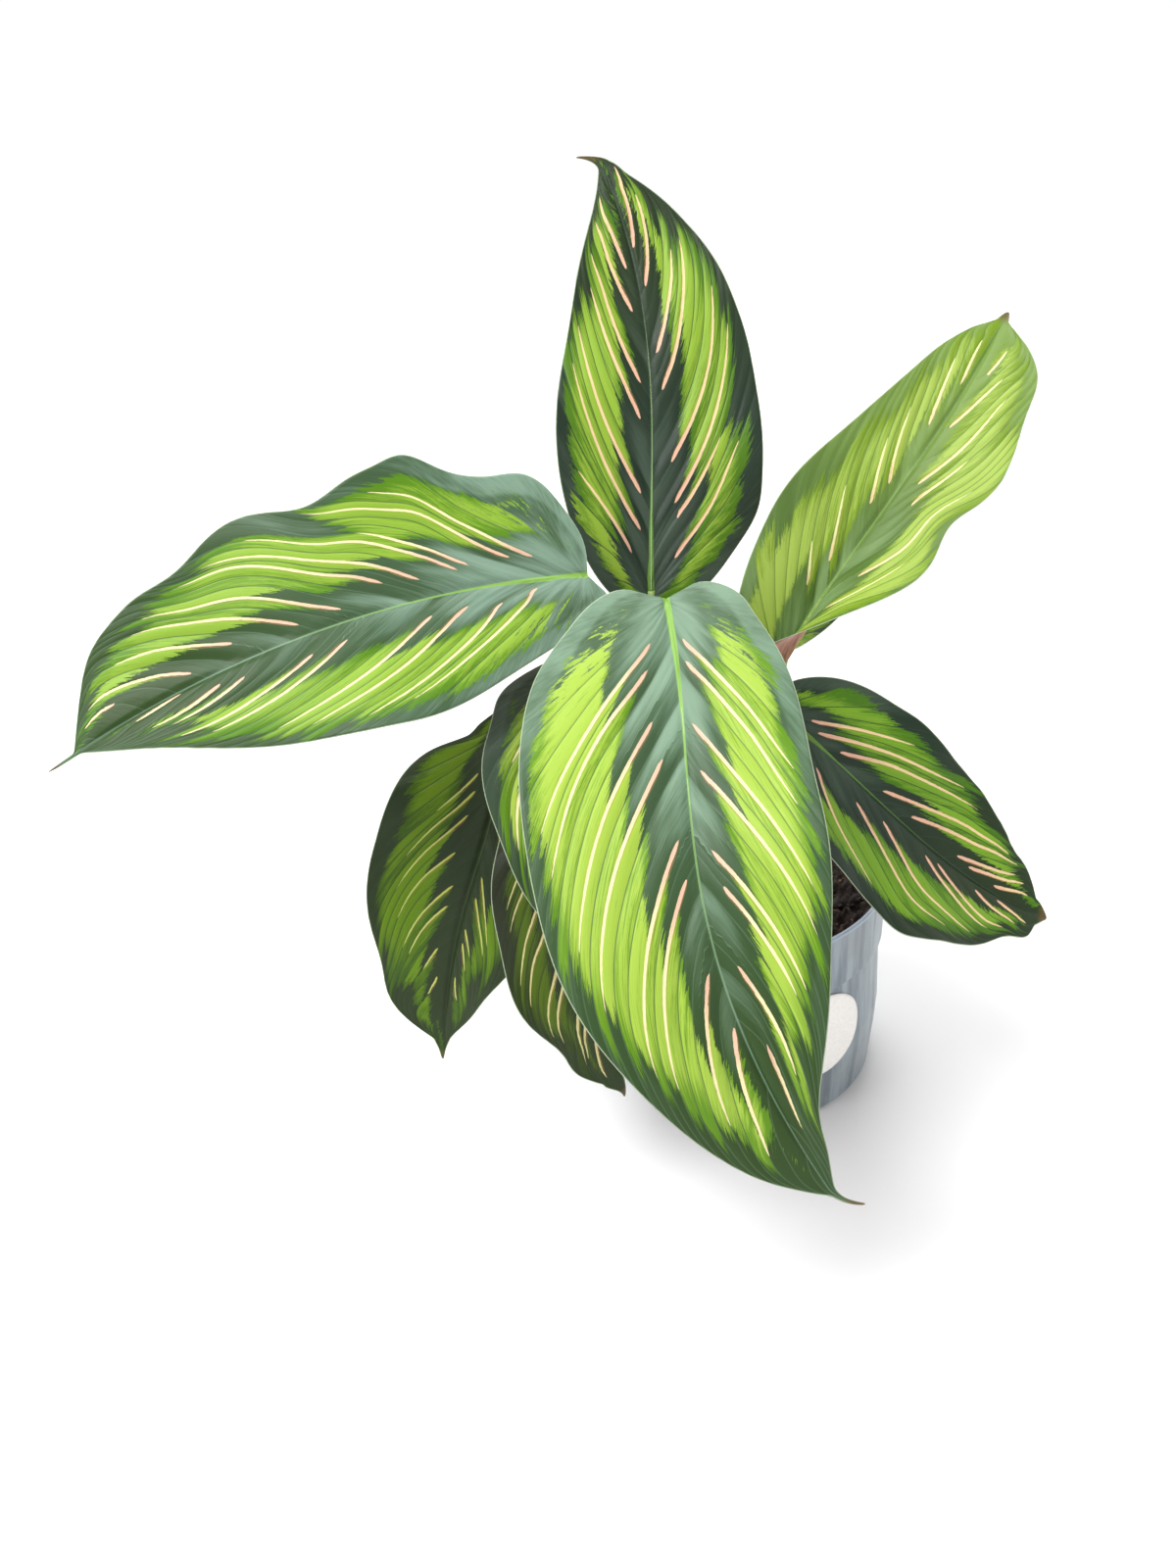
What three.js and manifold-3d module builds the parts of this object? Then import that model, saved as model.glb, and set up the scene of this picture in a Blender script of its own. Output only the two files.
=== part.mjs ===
// Potted beauty star calathea: nine patterned leaves on their own stalks, standing in
// potting mix in a round nursery pot of 14 cm with a blank round label on its wall.
// Millimetres, +Z up. The origin is the centre of the pot's underside, and the viewer
// of the leaves' upper faces stands on the -Y side.

import * as THREE from 'three';
import { mergeVertices } from 'three/addons/utils/BufferGeometryUtils.js';
import Module from 'manifold-3d';

const wasm = await Module();
wasm.setup();

// Pot
const POT_HEIGHT = 111;
const RIM_RADIUS = 71;
const BAND_FOOT_Z = 79.5;
const BAND_FOOT_RADIUS = 68.3;
const WALL_TOP_RADIUS = 66.5;
const WALL_MID_Z = 40;
const WALL_MID_RADIUS = 65.5;
const SKIRT_Z = 26;
const SKIRT_RADIUS = 64;
const BASE_RADIUS = 60.5;
const BASE_CHAMFER = 2;
const POT_WALL = 1.6;
const FLOOR_THICKNESS = 3;
const LIP_BULGE = 0.6;
const LIP_HEIGHT = 2.5;
const POT_SIDES = 56;
const DRAIN_HOLES = 6;
const DRAIN_RADIUS = 4;
const DRAIN_CIRCLE = 40;

// Label
const LABEL_RADIUS = 24;
const LABEL_CENTRE_Z = 52;
const LABEL_TURN = 23 * Math.PI / 180;
const LABEL_THICKNESS = 0.4;
const LABEL_LIFT = 0.45;
const LABEL_RINGS = 3;
const LABEL_SIDES = 28;

// Potting mix
const SOIL_TOP = 97;
const SOIL_RELIEF = 1.8;
const SOIL_SIDES = 32;
const SOIL_RINGS = 6;
const SOIL_SHOULDER = 3;
const SOIL_GAP = 0.4;
const CHIP_COUNT = 12;
const CHIP_SEED = 20;

// Fit between solids that touch
const GAP = 0.3;

// Stalks
const STALK_SIDES = 8;
const STALK_STEPS = 14;
const STALK_DEPTH = 12;
const SHEATH_RADIUS = 3.6;
const STALK_RADIUS = 2.0;
const KNEE_RADIUS = 2.5;
const KNEE_START = 0.86;
const KNEE_SINK = 1.3;
const KNEE_INSET = 0.02;
const SHEATH_END = 0.45;
const STALK_UPRIGHT = 0.4;
const STALK_BEND = 0.3;

// Blades
const BLADE_THICKNESS = 0.8;
const RIB_HALF_WIDTH = 2.4;
const RIB_DEPTH = 1.8;
const RIB_FADE = 0.85;
const BLADE_ROWS = 24;
const TAIL_HALF_WIDTH = 1.3;
const TAIL_OVERLAP = 0.8;
const NECK_ROUNDING = 0.02;
const SWELL_END = 0.06;
const LOBE_REACH = 0.3;
const NOTCH_REACH = 0.008;
const FLAT_CURL = 0.06;
const VEIN_SWEEP = 0.42;
const PLEAT = 0.45;
const PLEAT_FULL_WIDTH = 30;
const DEGREE = Math.PI / 180;

// One entry a leaf. The midrib is a cubic curve from the neck to the tip, and face is the
// way the upper side looks at the neck, half way and at the tip. Left and right are seen
// from the upper side with the tip up. fold is the rise of each half from the midrib at
// the neck and the tip, curl is its further bend towards the margin, both in degrees.
// swell widens or narrows a half near a place: [place, spread, millimetres]. wave is the
// height, the count and the two phases of the margin's waves, lobe is how far each half
// reaches back past the neck, and hook pushes the tip sideways from a place on.
const LEAVES = {
  leaf_top: {
    midrib: [[-29, 24, 249], [-21, 48, 320], [-6, 70, 362], [-29, 106, 431]],
    face: [[0.1, -1, 0.25], [0, -1, 0.35], [-0.05, -1, 0.5]],
    halfWidth: [44, 52], widest: [0.36, 0.4], fullness: [1.9, 1.9], taper: [1.3, 1],
    swell: [
      [[0.8, 0.17, 4.5]],
      [[0.2, 0.07, 3], [0.46, 0.15, -4], [0.62, 0.08, -1.5], [0.88, 0.12, 2.5], [0.97, 0.03, 4]],
    ],
    fold: [[15, 8], [12, 0]], foldFade: 1, curl: [[-10, 0], [-10, 0]],
    wave: [2, 3, 0, 0.3], lobe: [6, 6], tail: 10, hook: [-9, 0.95],
    root: [-12, 12], colour: 0x3f7a34,
  },
  leaf_left: {
    midrib: [[-57, -6, 276], [-129, -28, 290], [-203, -50, 282], [-278, -72, 249]],
    face: [[0, -0.8, 1], [0, -0.9, 1], [0, -0.8, 1]],
    halfWidth: [47, 60], widest: [0.4, 0.432], fullness: [2.2, 2.4], taper: [0.95, 0.9],
    swell: [
      [[0.38, 0.16, 6.5], [0.835, 0.13, -3.2]],
      [[0.08, 0.06, 10], [0.27, 0.045, 6], [0.44, 0.075, -9.5], [0.67, 0.07, -7], [0.855, 0.06, 5]],
    ],
    fold: [[8, 8], [12, 10]], foldFade: 1, curl: [[-10, -10], [10, 0]],
    wave: [2.6, 2.6, 0.1, 0.32], lobe: [12, 4], tail: 15, hook: [0, 0.93],
    root: [-24, 2], colour: 0x5b9a3c,
  },
  leaf_front: {
    midrib: [[-27, -34, 272], [-25, -120, 220], [-56, -169, 204], [7, -192, 80]],
    face: [[0, -0.3, 1], [0.05, -0.8, 0.8], [0, -1, 0.4]],
    halfWidth: [54, 69], widest: [0.38, 0.42], fullness: [1.9, 1.9], taper: [1.7, 1],
    swell: [
      [[0.03, 0.04, 5], [0.34, 0.16, -6.2], [0.7, 0.13, 3.4], [0.9, 0.06, 3.8]],
      [[0.03, 0.03, 2], [0.14, 0.09, 4], [0.46, 0.16, -7.5], [0.69, 0.12, -6], [0.88, 0.06, 1.5]],
    ],
    fold: [[10, 25], [10, 5]], foldFade: 1, curl: [[-15, -10], [-10, -5]],
    wave: [2, 3, 0, 0.3], lobe: [12, 13], tail: 14, hook: [-8, 0.94],
    root: [-6, -14], colour: 0x5f9f3e,
  },
  leaf_upper_right: {
    midrib: [[21, -5, 217], [50, -1, 266], [87, -4, 299], [131, 25, 355]],
    face: [[-0.5, -0.8, 0.5], [-0.3, -0.8, 0.6], [-0.3, -0.8, 0.6]],
    halfWidth: [40, 39], widest: [0.36, 0.5], fullness: [1.9, 2.4], taper: [1, 0.9],
    swell: [[[0.9, 0.12, 6.5]], [[0.24, 0.06, -2.5], [0.52, 0.08, -9], [0.9, 0.08, 8]]],
    fold: [[30, 10], [85, 5]], foldFade: 3.5, curl: [[20, 0], [20, 0]],
    wave: [2, 3, 0, 0.3], lobe: [6, 6], tail: 6, hook: [0, 0.93],
    root: [12, 2], colour: 0x8fbf5a,
  },
  leaf_right: {
    midrib: [[14, -40, 218], [39, -55, 202], [80, -68, 135], [124, -75, 116]],
    face: [[0.2, -0.6, 1], [0.2, -0.6, 1], [0.3, -0.6, 0.8]],
    halfWidth: [42, 48], widest: [0.38, 0.42], fullness: [3, 2.8], taper: [1, 0.9],
    swell: [
      [[0.45, 0.1, -2], [0.72, 0.06, -2], [0.92, 0.07, 8.5], [0.98, 0.03, 4]],
      [[0.58, 0.08, 6], [0.87, 0.04, -1.5], [0.95, 0.05, 8.5]],
    ],
    fold: [[12, 12], [12, 12]], foldFade: 1, curl: [[0, 0], [0, 0]],
    wave: [2, 3, 0, 0.3], lobe: [6, 6], tail: 8, hook: [0, 0.93],
    root: [12, -20], colour: 0x34692f,
  },
  leaf_lower_left: {
    midrib: [[-102, 16, 208], [-117, -22, 138], [-137, -16, 148], [-157, -36, 48]],
    face: [[-0.3, -0.6, 0.9], [-0.3, -0.9, 0.6], [-0.3, -1, 0.3]],
    halfWidth: [41, 50], widest: [0.42, 0.42], fullness: [2.2, 2.6], taper: [1.4, 1],
    swell: [
      [[0.6, 0.2, 1.8], [0.87, 0.09, 4.8]],
      [[0.05, 0.05, -9], [0.2, 0.09, 2.5], [0.5, 0.12, 1], [0.72, 0.14, -3.6], [0.86, 0.1, 9.5]],
    ],
    fold: [[12, 12], [12, 12]], foldFade: 1, curl: [[0, 0], [0, 0]],
    wave: [2, 3, 0, 0.3], lobe: [3, -5], tail: 14, hook: [0, 0.93],
    root: [-38, 6], colour: 0x2f6329,
  },
  leaf_under_front: {
    midrib: [[-62, -30, 245], [-82, -68, 223], [-90, -87, 193], [-76, -98, 133]],
    face: [[-0.3, -0.6, 0.9], [-0.3, -0.9, 0.6], [-0.2, -1, 0.3]],
    halfWidth: [34, 34], widest: [0.42, 0.42], fullness: [1.9, 1.9], taper: [1, 1],
    swell: [[], [[0.15, 0.08, 6], [0.6, 0.18, -7.5]]],
    fold: [[12, 12], [12, 12]], foldFade: 1, curl: [[0, 0], [0, 0]],
    wave: [2, 3, 0, 0.3], lobe: [6, 6], tail: 14, hook: [0, 0.93],
    root: [-22, -16], colour: 0x4d8a3a,
  },
  leaf_lowest: {
    midrib: [[-80, -28, 196], [-89, -57, 155], [-93, -77, 114], [-67, -88, 58]],
    face: [[-0.3, -0.7, 0.8], [-0.3, -0.9, 0.5], [-0.2, -1, 0.2]],
    halfWidth: [32, 31], widest: [0.42, 0.42], fullness: [2.2, 2.2], taper: [1, 1],
    swell: [[], [[0.7, 0.15, 3.2], [0.88, 0.07, 9], [0.95, 0.04, 4]]],
    fold: [[12, 12], [12, 12]], foldFade: 1, curl: [[0, 0], [0, 0]],
    wave: [2, 3, 0, 0.3], lobe: [6, 6], tail: 14, hook: [4, 0.93],
    root: [-38, -16], colour: 0x27502a,
  },
  leaf_back: {
    midrib: [[33, 34, 215], [55, 60, 232], [85, 95, 232], [113, 112, 270]],
    face: [[0.3, -0.5, 0.8], [0.3, -0.5, 0.8], [0.3, -0.4, 0.8]],
    halfWidth: [34, 23], widest: [0.42, 0.42], fullness: [1.9, 1.9], taper: [1, 1],
    swell: [[], []],
    fold: [[12, 12], [12, 12]], foldFade: 1, curl: [[0, 0], [0, 0]],
    wave: [2, 3, 0, 0.3], lobe: [6, 6], tail: 14, hook: [0, 0.93],
    root: [18, 16], colour: 0x356b30,
  },
};

const vector = (xyz) => new THREE.Vector3(...xyz);
const clamp01 = (value) => Math.min(1, Math.max(0, value));
const mix = (a, b, t) => a + (b - a) * t;

// A closed geometry from lists of points and of triangles.
function closedGeometry(points, triangles) {
  const geometry = new THREE.BufferGeometry();
  const flat = points.flatMap((p) => [p.x, p.y, p.z]);
  geometry.setAttribute('position', new THREE.Float32BufferAttribute(flat, 3));
  geometry.setIndex(triangles.flat());
  return geometry;
}

function toSolid(geometry) {
  const bare = geometry.clone();
  bare.deleteAttribute('normal');
  bare.deleteAttribute('uv');
  const merged = mergeVertices(bare, 1e-4);
  const vertProperties = new Float32Array(merged.attributes.position.array);
  const triVerts = new Uint32Array(merged.index.array);
  return new wasm.Manifold(new wasm.Mesh({ numProp: 3, vertProperties, triVerts }));
}

function toGeometry(solid) {
  const mesh = solid.getMesh();
  const geometry = new THREE.BufferGeometry();
  geometry.setAttribute('position', new THREE.BufferAttribute(new Float32Array(mesh.vertProperties), 3));
  geometry.setIndex(new THREE.BufferAttribute(new Uint32Array(mesh.triVerts), 1));
  return geometry;
}

function seeded(seed) {
  let state = seed;
  return () => {
    state = (state * 1103515245 + 12345) % 2147483648;
    return state / 2147483648;
  };
}

const parts = new THREE.Group();

function addPart(name, geometry, colour, roughness) {
  const material = new THREE.MeshStandardMaterial({ color: colour, roughness, metalness: 0 });
  const mesh = new THREE.Mesh(geometry, material);
  mesh.name = name;
  parts.add(mesh);
}

// A lathe about Z: three.js turns its profile about Y.
function turned(profile, sides) {
  const points = profile.map(([r, z]) => new THREE.Vector2(r, z));
  return new THREE.LatheGeometry(points, sides).rotateX(Math.PI / 2);
}

// A rod along a curve whose radius follows a formula of the way along it.
function rod(curve, radiusAt, steps, sides) {
  const frames = curve.computeFrenetFrames(steps, false);
  const points = [];
  const triangles = [];
  for (let i = 0; i <= steps; i += 1) {
    const centre = curve.getPointAt(i / steps);
    const radius = radiusAt(i / steps);
    for (let j = 0; j < sides; j += 1) {
      const angle = 2 * Math.PI * j / sides;
      const across = frames.normals[i].clone().multiplyScalar(Math.cos(angle) * radius);
      const up = frames.binormals[i].clone().multiplyScalar(Math.sin(angle) * radius);
      points.push(centre.clone().add(across).add(up));
    }
  }
  const ring = (i, j) => i * sides + (j % sides);
  for (let i = 0; i < steps; i += 1) {
    for (let j = 0; j < sides; j += 1) {
      triangles.push([ring(i, j), ring(i, j + 1), ring(i + 1, j + 1)]);
      triangles.push([ring(i, j), ring(i + 1, j + 1), ring(i + 1, j)]);
    }
  }
  for (let j = 1; j < sides - 1; j += 1) {
    triangles.push([ring(0, 0), ring(0, j + 1), ring(0, j)]);
    triangles.push([ring(steps, 0), ring(steps, j), ring(steps, j + 1)]);
  }
  return closedGeometry(points, triangles);
}

// The surface of one blade: a point for the way along the midrib (0 at the neck, 1 at the
// tip), the way across (0 at the midrib, 1 at the margin) and the side (-1 left, 1 right).
function bladeSurface(leaf) {
  const curve = new THREE.CubicBezierCurve3(...leaf.midrib.map(vector));
  const length = curve.getLength();
  const faces = leaf.face.map((xyz) => vector(xyz).normalize());
  const bladeEnd = 1 - TAIL_OVERLAP * leaf.tail / length;

  function frameAt(along) {
    const tangent = curve.getTangentAt(along);
    const normal = along < 0.5
      ? faces[0].clone().lerp(faces[1], 2 * along)
      : faces[1].clone().lerp(faces[2], 2 * along - 1);
    normal.addScaledVector(tangent, -normal.dot(tangent)).normalize();
    const right = new THREE.Vector3().crossVectors(tangent, normal);
    return { centre: curve.getPointAt(along), tangent, normal, right };
  }

  function widthAt(along, side) {
    const half = side < 0 ? 0 : 1;
    const widest = leaf.widest[half];
    const toBase = clamp01((widest - along) / widest);
    const toTip = clamp01((along - widest) / (bladeEnd - widest));
    const share = along < widest
      ? Math.sqrt(1 - toBase ** 2)
      : (1 - toTip ** leaf.fullness[half]) ** leaf.taper[half];
    const tailShare = clamp01((1 - along) * length / leaf.tail) * clamp01(along / NECK_ROUNDING);
    const ends = Math.sqrt(clamp01((1 - along) / SWELL_END) * clamp01(along / SWELL_END));
    let width = leaf.halfWidth[half] * share;
    for (const [place, spread, rise] of leaf.swell[half]) {
      width += rise * Math.exp(-(((along - place) / spread) ** 2)) * ends;
    }
    return Math.hypot(Math.max(width, 0), TAIL_HALF_WIDTH * Math.sqrt(tailShare));
  }

  function pointAt(along, across, side) {
    const half = side < 0 ? 0 : 1;
    const { centre, tangent, normal, right } = frameAt(along);
    const width = widthAt(along, side);
    const [foldBase, foldTip] = leaf.fold[half];
    const [curlBase, curlTip] = leaf.curl[half];
    const fold = mix(foldTip, foldBase, (1 - along) ** leaf.foldFade) * DEGREE;
    const curl = (mix(curlBase, curlTip, along) || FLAT_CURL) * DEGREE;
    const out = width / curl * (Math.sin(fold + curl * across) - Math.sin(fold));
    const [waveHeight, waveCount, phaseLeft, phaseRight] = leaf.wave;
    const phase = side < 0 ? phaseLeft : phaseRight;
    const wave = waveHeight * across ** 2 * Math.sin(2 * Math.PI * (waveCount * along + phase))
      * Math.sqrt(Math.sin(Math.PI * clamp01(along)));
    const rise = width / curl * (Math.cos(fold) - Math.cos(fold + curl * across)) + wave;
    const lobeShare = clamp01(1 - along / LOBE_REACH) ** 2 * (1 - Math.exp(-along / NOTCH_REACH));
    const back = leaf.lobe[half] * across * lobeShare;
    const [hookSize, hookStart] = leaf.hook;
    const hook = hookSize * clamp01((along - hookStart) / (1 - hookStart)) ** 2;
    return centre.clone()
      .addScaledVector(right, side * out + hook)
      .addScaledVector(normal, rise)
      .addScaledVector(tangent, -back);
  }
  return { frameAt, widthAt, pointAt };
}

// Rows of the blade's mesh run along its side veins, which leave the midrib and sweep
// towards the tip. Row places crowd at the neck and at the tip.
const rowStart = (row) => (1 - (1 - row / BLADE_ROWS) ** 1.25) ** 2;
const alongVein = (start, across) => start + VEIN_SWEEP * across ** 1.25 * (1 - start) * start ** 0.4;

function bladeGeometry(surface) {
  const columns = [-1, -0.68, -0.36, 'rib', 0, 'rib', 0.36, 0.68, 1];
  const middle = 4;
  const top = [];
  const under = [];

  function surfacePoint(start, across, side, row) {
    const along = alongVein(start, across);
    const point = surface.pointAt(along, across, side);
    const { normal } = surface.frameAt(along);
    const size = PLEAT * clamp01(surface.widthAt(along, side) / PLEAT_FULL_WIDTH);
    return point.addScaledVector(normal, (row % 2 ? size : -size) * Math.sin(Math.PI * across));
  }

  function surfaceNormal(start, across, side) {
    const near = Math.max(0, across - 0.04);
    const far = Math.min(1, across + 0.04);
    const along = alongVein(start, across);
    const before = surface.pointAt(Math.max(0, along - 0.004), across, side);
    const after = surface.pointAt(Math.min(1, along + 0.004), across, side);
    const inner = surface.pointAt(along, near, side);
    const outer = surface.pointAt(along, far, side);
    const lengthwise = after.sub(before);
    const sideways = outer.sub(inner).multiplyScalar(side);
    return sideways.cross(lengthwise).normalize();
  }

  for (let row = 1; row < BLADE_ROWS; row += 1) {
    const start = rowStart(row);
    const topRow = [];
    const underRow = [];
    columns.forEach((column, index) => {
      const side = index < middle ? -1 : 1;
      const width = surface.widthAt(start, side);
      const across = column === 'rib' ? Math.min(0.2, RIB_HALF_WIDTH / width) : Math.abs(column);
      const point = surfacePoint(start, across, side, row);
      const normal = index === middle ? surface.frameAt(start).normal : surfaceNormal(start, across, side);
      const depth = BLADE_THICKNESS + (index === middle ? RIB_DEPTH * (1 - RIB_FADE * start) : 0);
      topRow.push(point);
      underRow.push(point.clone().addScaledVector(normal, -depth));
    });
    top.push(topRow);
    under.push(underRow);
  }

  const points = [...top.flat(), ...under.flat()];
  const count = columns.length;
  const rows = top.length;
  const topAt = (row, column) => row * count + column;
  const underAt = (row, column) => rows * count + row * count + column;
  const neck = surface.frameAt(0);
  const tip = surface.frameAt(1);
  const addPair = (frame, point, depth) => {
    points.push(point.clone(), point.clone().addScaledVector(frame.normal, -depth));
    return points.length - 2;
  };
  const neckAt = addPair(neck, surface.pointAt(0, 0, 1), BLADE_THICKNESS + RIB_DEPTH);
  const tipAt = addPair(tip, surface.pointAt(1, 0, 1), BLADE_THICKNESS);
  const triangles = [];
  for (let row = 0; row < rows - 1; row += 1) {
    for (let column = 0; column < count - 1; column += 1) {
      const [a, b] = [topAt(row, column), topAt(row, column + 1)];
      const [c, d] = [topAt(row + 1, column + 1), topAt(row + 1, column)];
      const [e, f] = [underAt(row, column), underAt(row, column + 1)];
      const [g, h] = [underAt(row + 1, column + 1), underAt(row + 1, column)];
      if (column < middle) {
        triangles.push([a, b, d], [b, c, d], [e, h, f], [f, h, g]);
      } else {
        triangles.push([a, b, c], [a, c, d], [e, g, f], [e, h, g]);
      }
    }
  }
  for (let column = 0; column < count - 1; column += 1) {
    triangles.push([neckAt, topAt(0, column + 1), topAt(0, column)]);
    triangles.push([neckAt + 1, underAt(0, column), underAt(0, column + 1)]);
    triangles.push([tipAt, topAt(rows - 1, column), topAt(rows - 1, column + 1)]);
    triangles.push([tipAt + 1, underAt(rows - 1, column + 1), underAt(rows - 1, column)]);
  }
  // The margin closes the two faces, from the neck along the left side to the tip and back.
  const last = count - 1;
  const topLoop = [neckAt];
  const underLoop = [neckAt + 1];
  for (let row = 0; row < rows; row += 1) {
    topLoop.push(topAt(row, 0));
    underLoop.push(underAt(row, 0));
  }
  topLoop.push(tipAt);
  underLoop.push(tipAt + 1);
  for (let row = rows - 1; row >= 0; row -= 1) {
    topLoop.push(topAt(row, last));
    underLoop.push(underAt(row, last));
  }
  topLoop.forEach((_, i) => {
    const next = (i + 1) % topLoop.length;
    triangles.push([topLoop[i], topLoop[next], underLoop[next]]);
    triangles.push([topLoop[i], underLoop[next], underLoop[i]]);
  });
  return closedGeometry(points, triangles);
}

// The stalk rises straight out of the mix, leans to the neck and bends in its knee.
function stalkCurve(leaf, surface) {
  const neck = surface.frameAt(0);
  const inside = surface.frameAt(KNEE_INSET);
  const root = new THREE.Vector3(leaf.root[0], leaf.root[1], SOIL_TOP - STALK_DEPTH);
  const end = inside.centre.addScaledVector(inside.normal, -KNEE_SINK);
  const rise = end.z - root.z;
  const lower = root.clone().add(new THREE.Vector3(0, 0, rise * STALK_UPRIGHT));
  const bend = neck.tangent.clone().multiplyScalar(0.5).add(new THREE.Vector3(0, 0, 0.8)).normalize();
  const upper = end.clone().addScaledVector(bend, -rise * STALK_BEND);
  return new THREE.CubicBezierCurve3(root, lower, upper, end);
}

function stalkRadius(t) {
  const sheath = mix(SHEATH_RADIUS, STALK_RADIUS, clamp01(t / SHEATH_END));
  const knee = Math.sin(Math.PI * clamp01((t - KNEE_START) / (1 - KNEE_START)));
  return sheath + (KNEE_RADIUS - STALK_RADIUS) * knee;
}

const holes = [];
for (const [name, leaf] of Object.entries(LEAVES)) {
  const surface = bladeSurface(leaf);
  const curve = stalkCurve(leaf, surface);
  const stalk = toSolid(rod(curve, stalkRadius, STALK_STEPS, STALK_SIDES));
  const blade = toSolid(bladeGeometry(surface));
  addPart(name, toGeometry(blade.add(stalk)), leaf.colour, 0.45);
  const hole = toSolid(rod(curve, (t) => stalkRadius(t) + GAP, STALK_STEPS, STALK_SIDES));
  holes.push(hole.add(hole.translate([0, 0, -GAP])));
}

// Pot: outer wall up to the lip, then the inner wall down to the floor.
function potGeometry() {
  const inner = (radius) => radius - POT_WALL;
  const profile = [
    [0, 0],
    [BASE_RADIUS - BASE_CHAMFER, 0],
    [BASE_RADIUS, BASE_CHAMFER],
    [SKIRT_RADIUS, SKIRT_Z],
    [WALL_MID_RADIUS, WALL_MID_Z],
    [WALL_TOP_RADIUS, BAND_FOOT_Z - 0.5],
    [BAND_FOOT_RADIUS, BAND_FOOT_Z],
    [RIM_RADIUS - LIP_BULGE, POT_HEIGHT - LIP_HEIGHT],
    [RIM_RADIUS, POT_HEIGHT - LIP_HEIGHT / 2],
    [RIM_RADIUS, POT_HEIGHT],
    [inner(RIM_RADIUS), POT_HEIGHT],
    [inner(RIM_RADIUS), POT_HEIGHT - LIP_HEIGHT],
    [inner(BAND_FOOT_RADIUS), BAND_FOOT_Z],
    [inner(WALL_TOP_RADIUS), BAND_FOOT_Z - 2],
    [inner(WALL_MID_RADIUS), WALL_MID_Z],
    [inner(SKIRT_RADIUS), SKIRT_Z],
    [inner(BASE_RADIUS), FLOOR_THICKNESS],
    [0, FLOOR_THICKNESS],
  ];
  let pot = toSolid(turned(profile, POT_SIDES));
  for (let i = 0; i < DRAIN_HOLES; i += 1) {
    const angle = 2 * Math.PI * (i + 0.5) / DRAIN_HOLES;
    const hole = new THREE.CylinderGeometry(DRAIN_RADIUS, DRAIN_RADIUS, FLOOR_THICKNESS * 4, 16);
    hole.rotateX(Math.PI / 2);
    hole.translate(DRAIN_CIRCLE * Math.cos(angle), DRAIN_CIRCLE * Math.sin(angle), 0);
    pot = pot.subtract(toSolid(hole));
  }
  return toGeometry(pot);
}

// Label: a thin disc bent round the wall, turned from the front towards +X.
function labelGeometry() {
  const climb = (z) => (z - WALL_MID_Z) / (BAND_FOOT_Z - WALL_MID_Z);
  const wallRadius = (z) => mix(WALL_MID_RADIUS, WALL_TOP_RADIUS, climb(z));
  const points = [];
  const triangles = [];
  const perFace = 1 + LABEL_RINGS * LABEL_SIDES;
  for (const lift of [LABEL_LIFT + LABEL_THICKNESS, LABEL_LIFT]) {
    for (let ring = 0; ring <= LABEL_RINGS; ring += 1) {
      const count = ring === 0 ? 1 : LABEL_SIDES;
      for (let i = 0; i < count; i += 1) {
        const angle = 2 * Math.PI * i / LABEL_SIDES;
        const reach = LABEL_RADIUS * ring / LABEL_RINGS;
        const z = LABEL_CENTRE_Z + reach * Math.sin(angle);
        const radius = wallRadius(Math.max(WALL_MID_Z, z)) + lift;
        const turn = LABEL_TURN + reach * Math.cos(angle) / WALL_TOP_RADIUS;
        points.push(new THREE.Vector3(radius * Math.sin(turn), -radius * Math.cos(turn), z));
      }
    }
  }
  const inFace = (ring, i) => (ring === 0 ? 0 : 1 + (ring - 1) * LABEL_SIDES + (i % LABEL_SIDES));
  const at = (face, ring, i) => face * perFace + inFace(ring, i);
  for (let i = 0; i < LABEL_SIDES; i += 1) {
    triangles.push([at(0, 0, 0), at(0, 1, i), at(0, 1, i + 1)]);
    triangles.push([at(1, 0, 0), at(1, 1, i + 1), at(1, 1, i)]);
    for (let ring = 1; ring < LABEL_RINGS; ring += 1) {
      triangles.push([at(0, ring, i), at(0, ring + 1, i), at(0, ring + 1, i + 1)]);
      triangles.push([at(0, ring, i), at(0, ring + 1, i + 1), at(0, ring, i + 1)]);
      triangles.push([at(1, ring, i), at(1, ring + 1, i + 1), at(1, ring + 1, i)]);
      triangles.push([at(1, ring, i), at(1, ring, i + 1), at(1, ring + 1, i + 1)]);
    }
    triangles.push([at(0, LABEL_RINGS, i), at(1, LABEL_RINGS, i), at(1, LABEL_RINGS, i + 1)]);
    triangles.push([at(0, LABEL_RINGS, i), at(1, LABEL_RINGS, i + 1), at(0, LABEL_RINGS, i + 1)]);
  }
  return closedGeometry(points, triangles);
}

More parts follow.
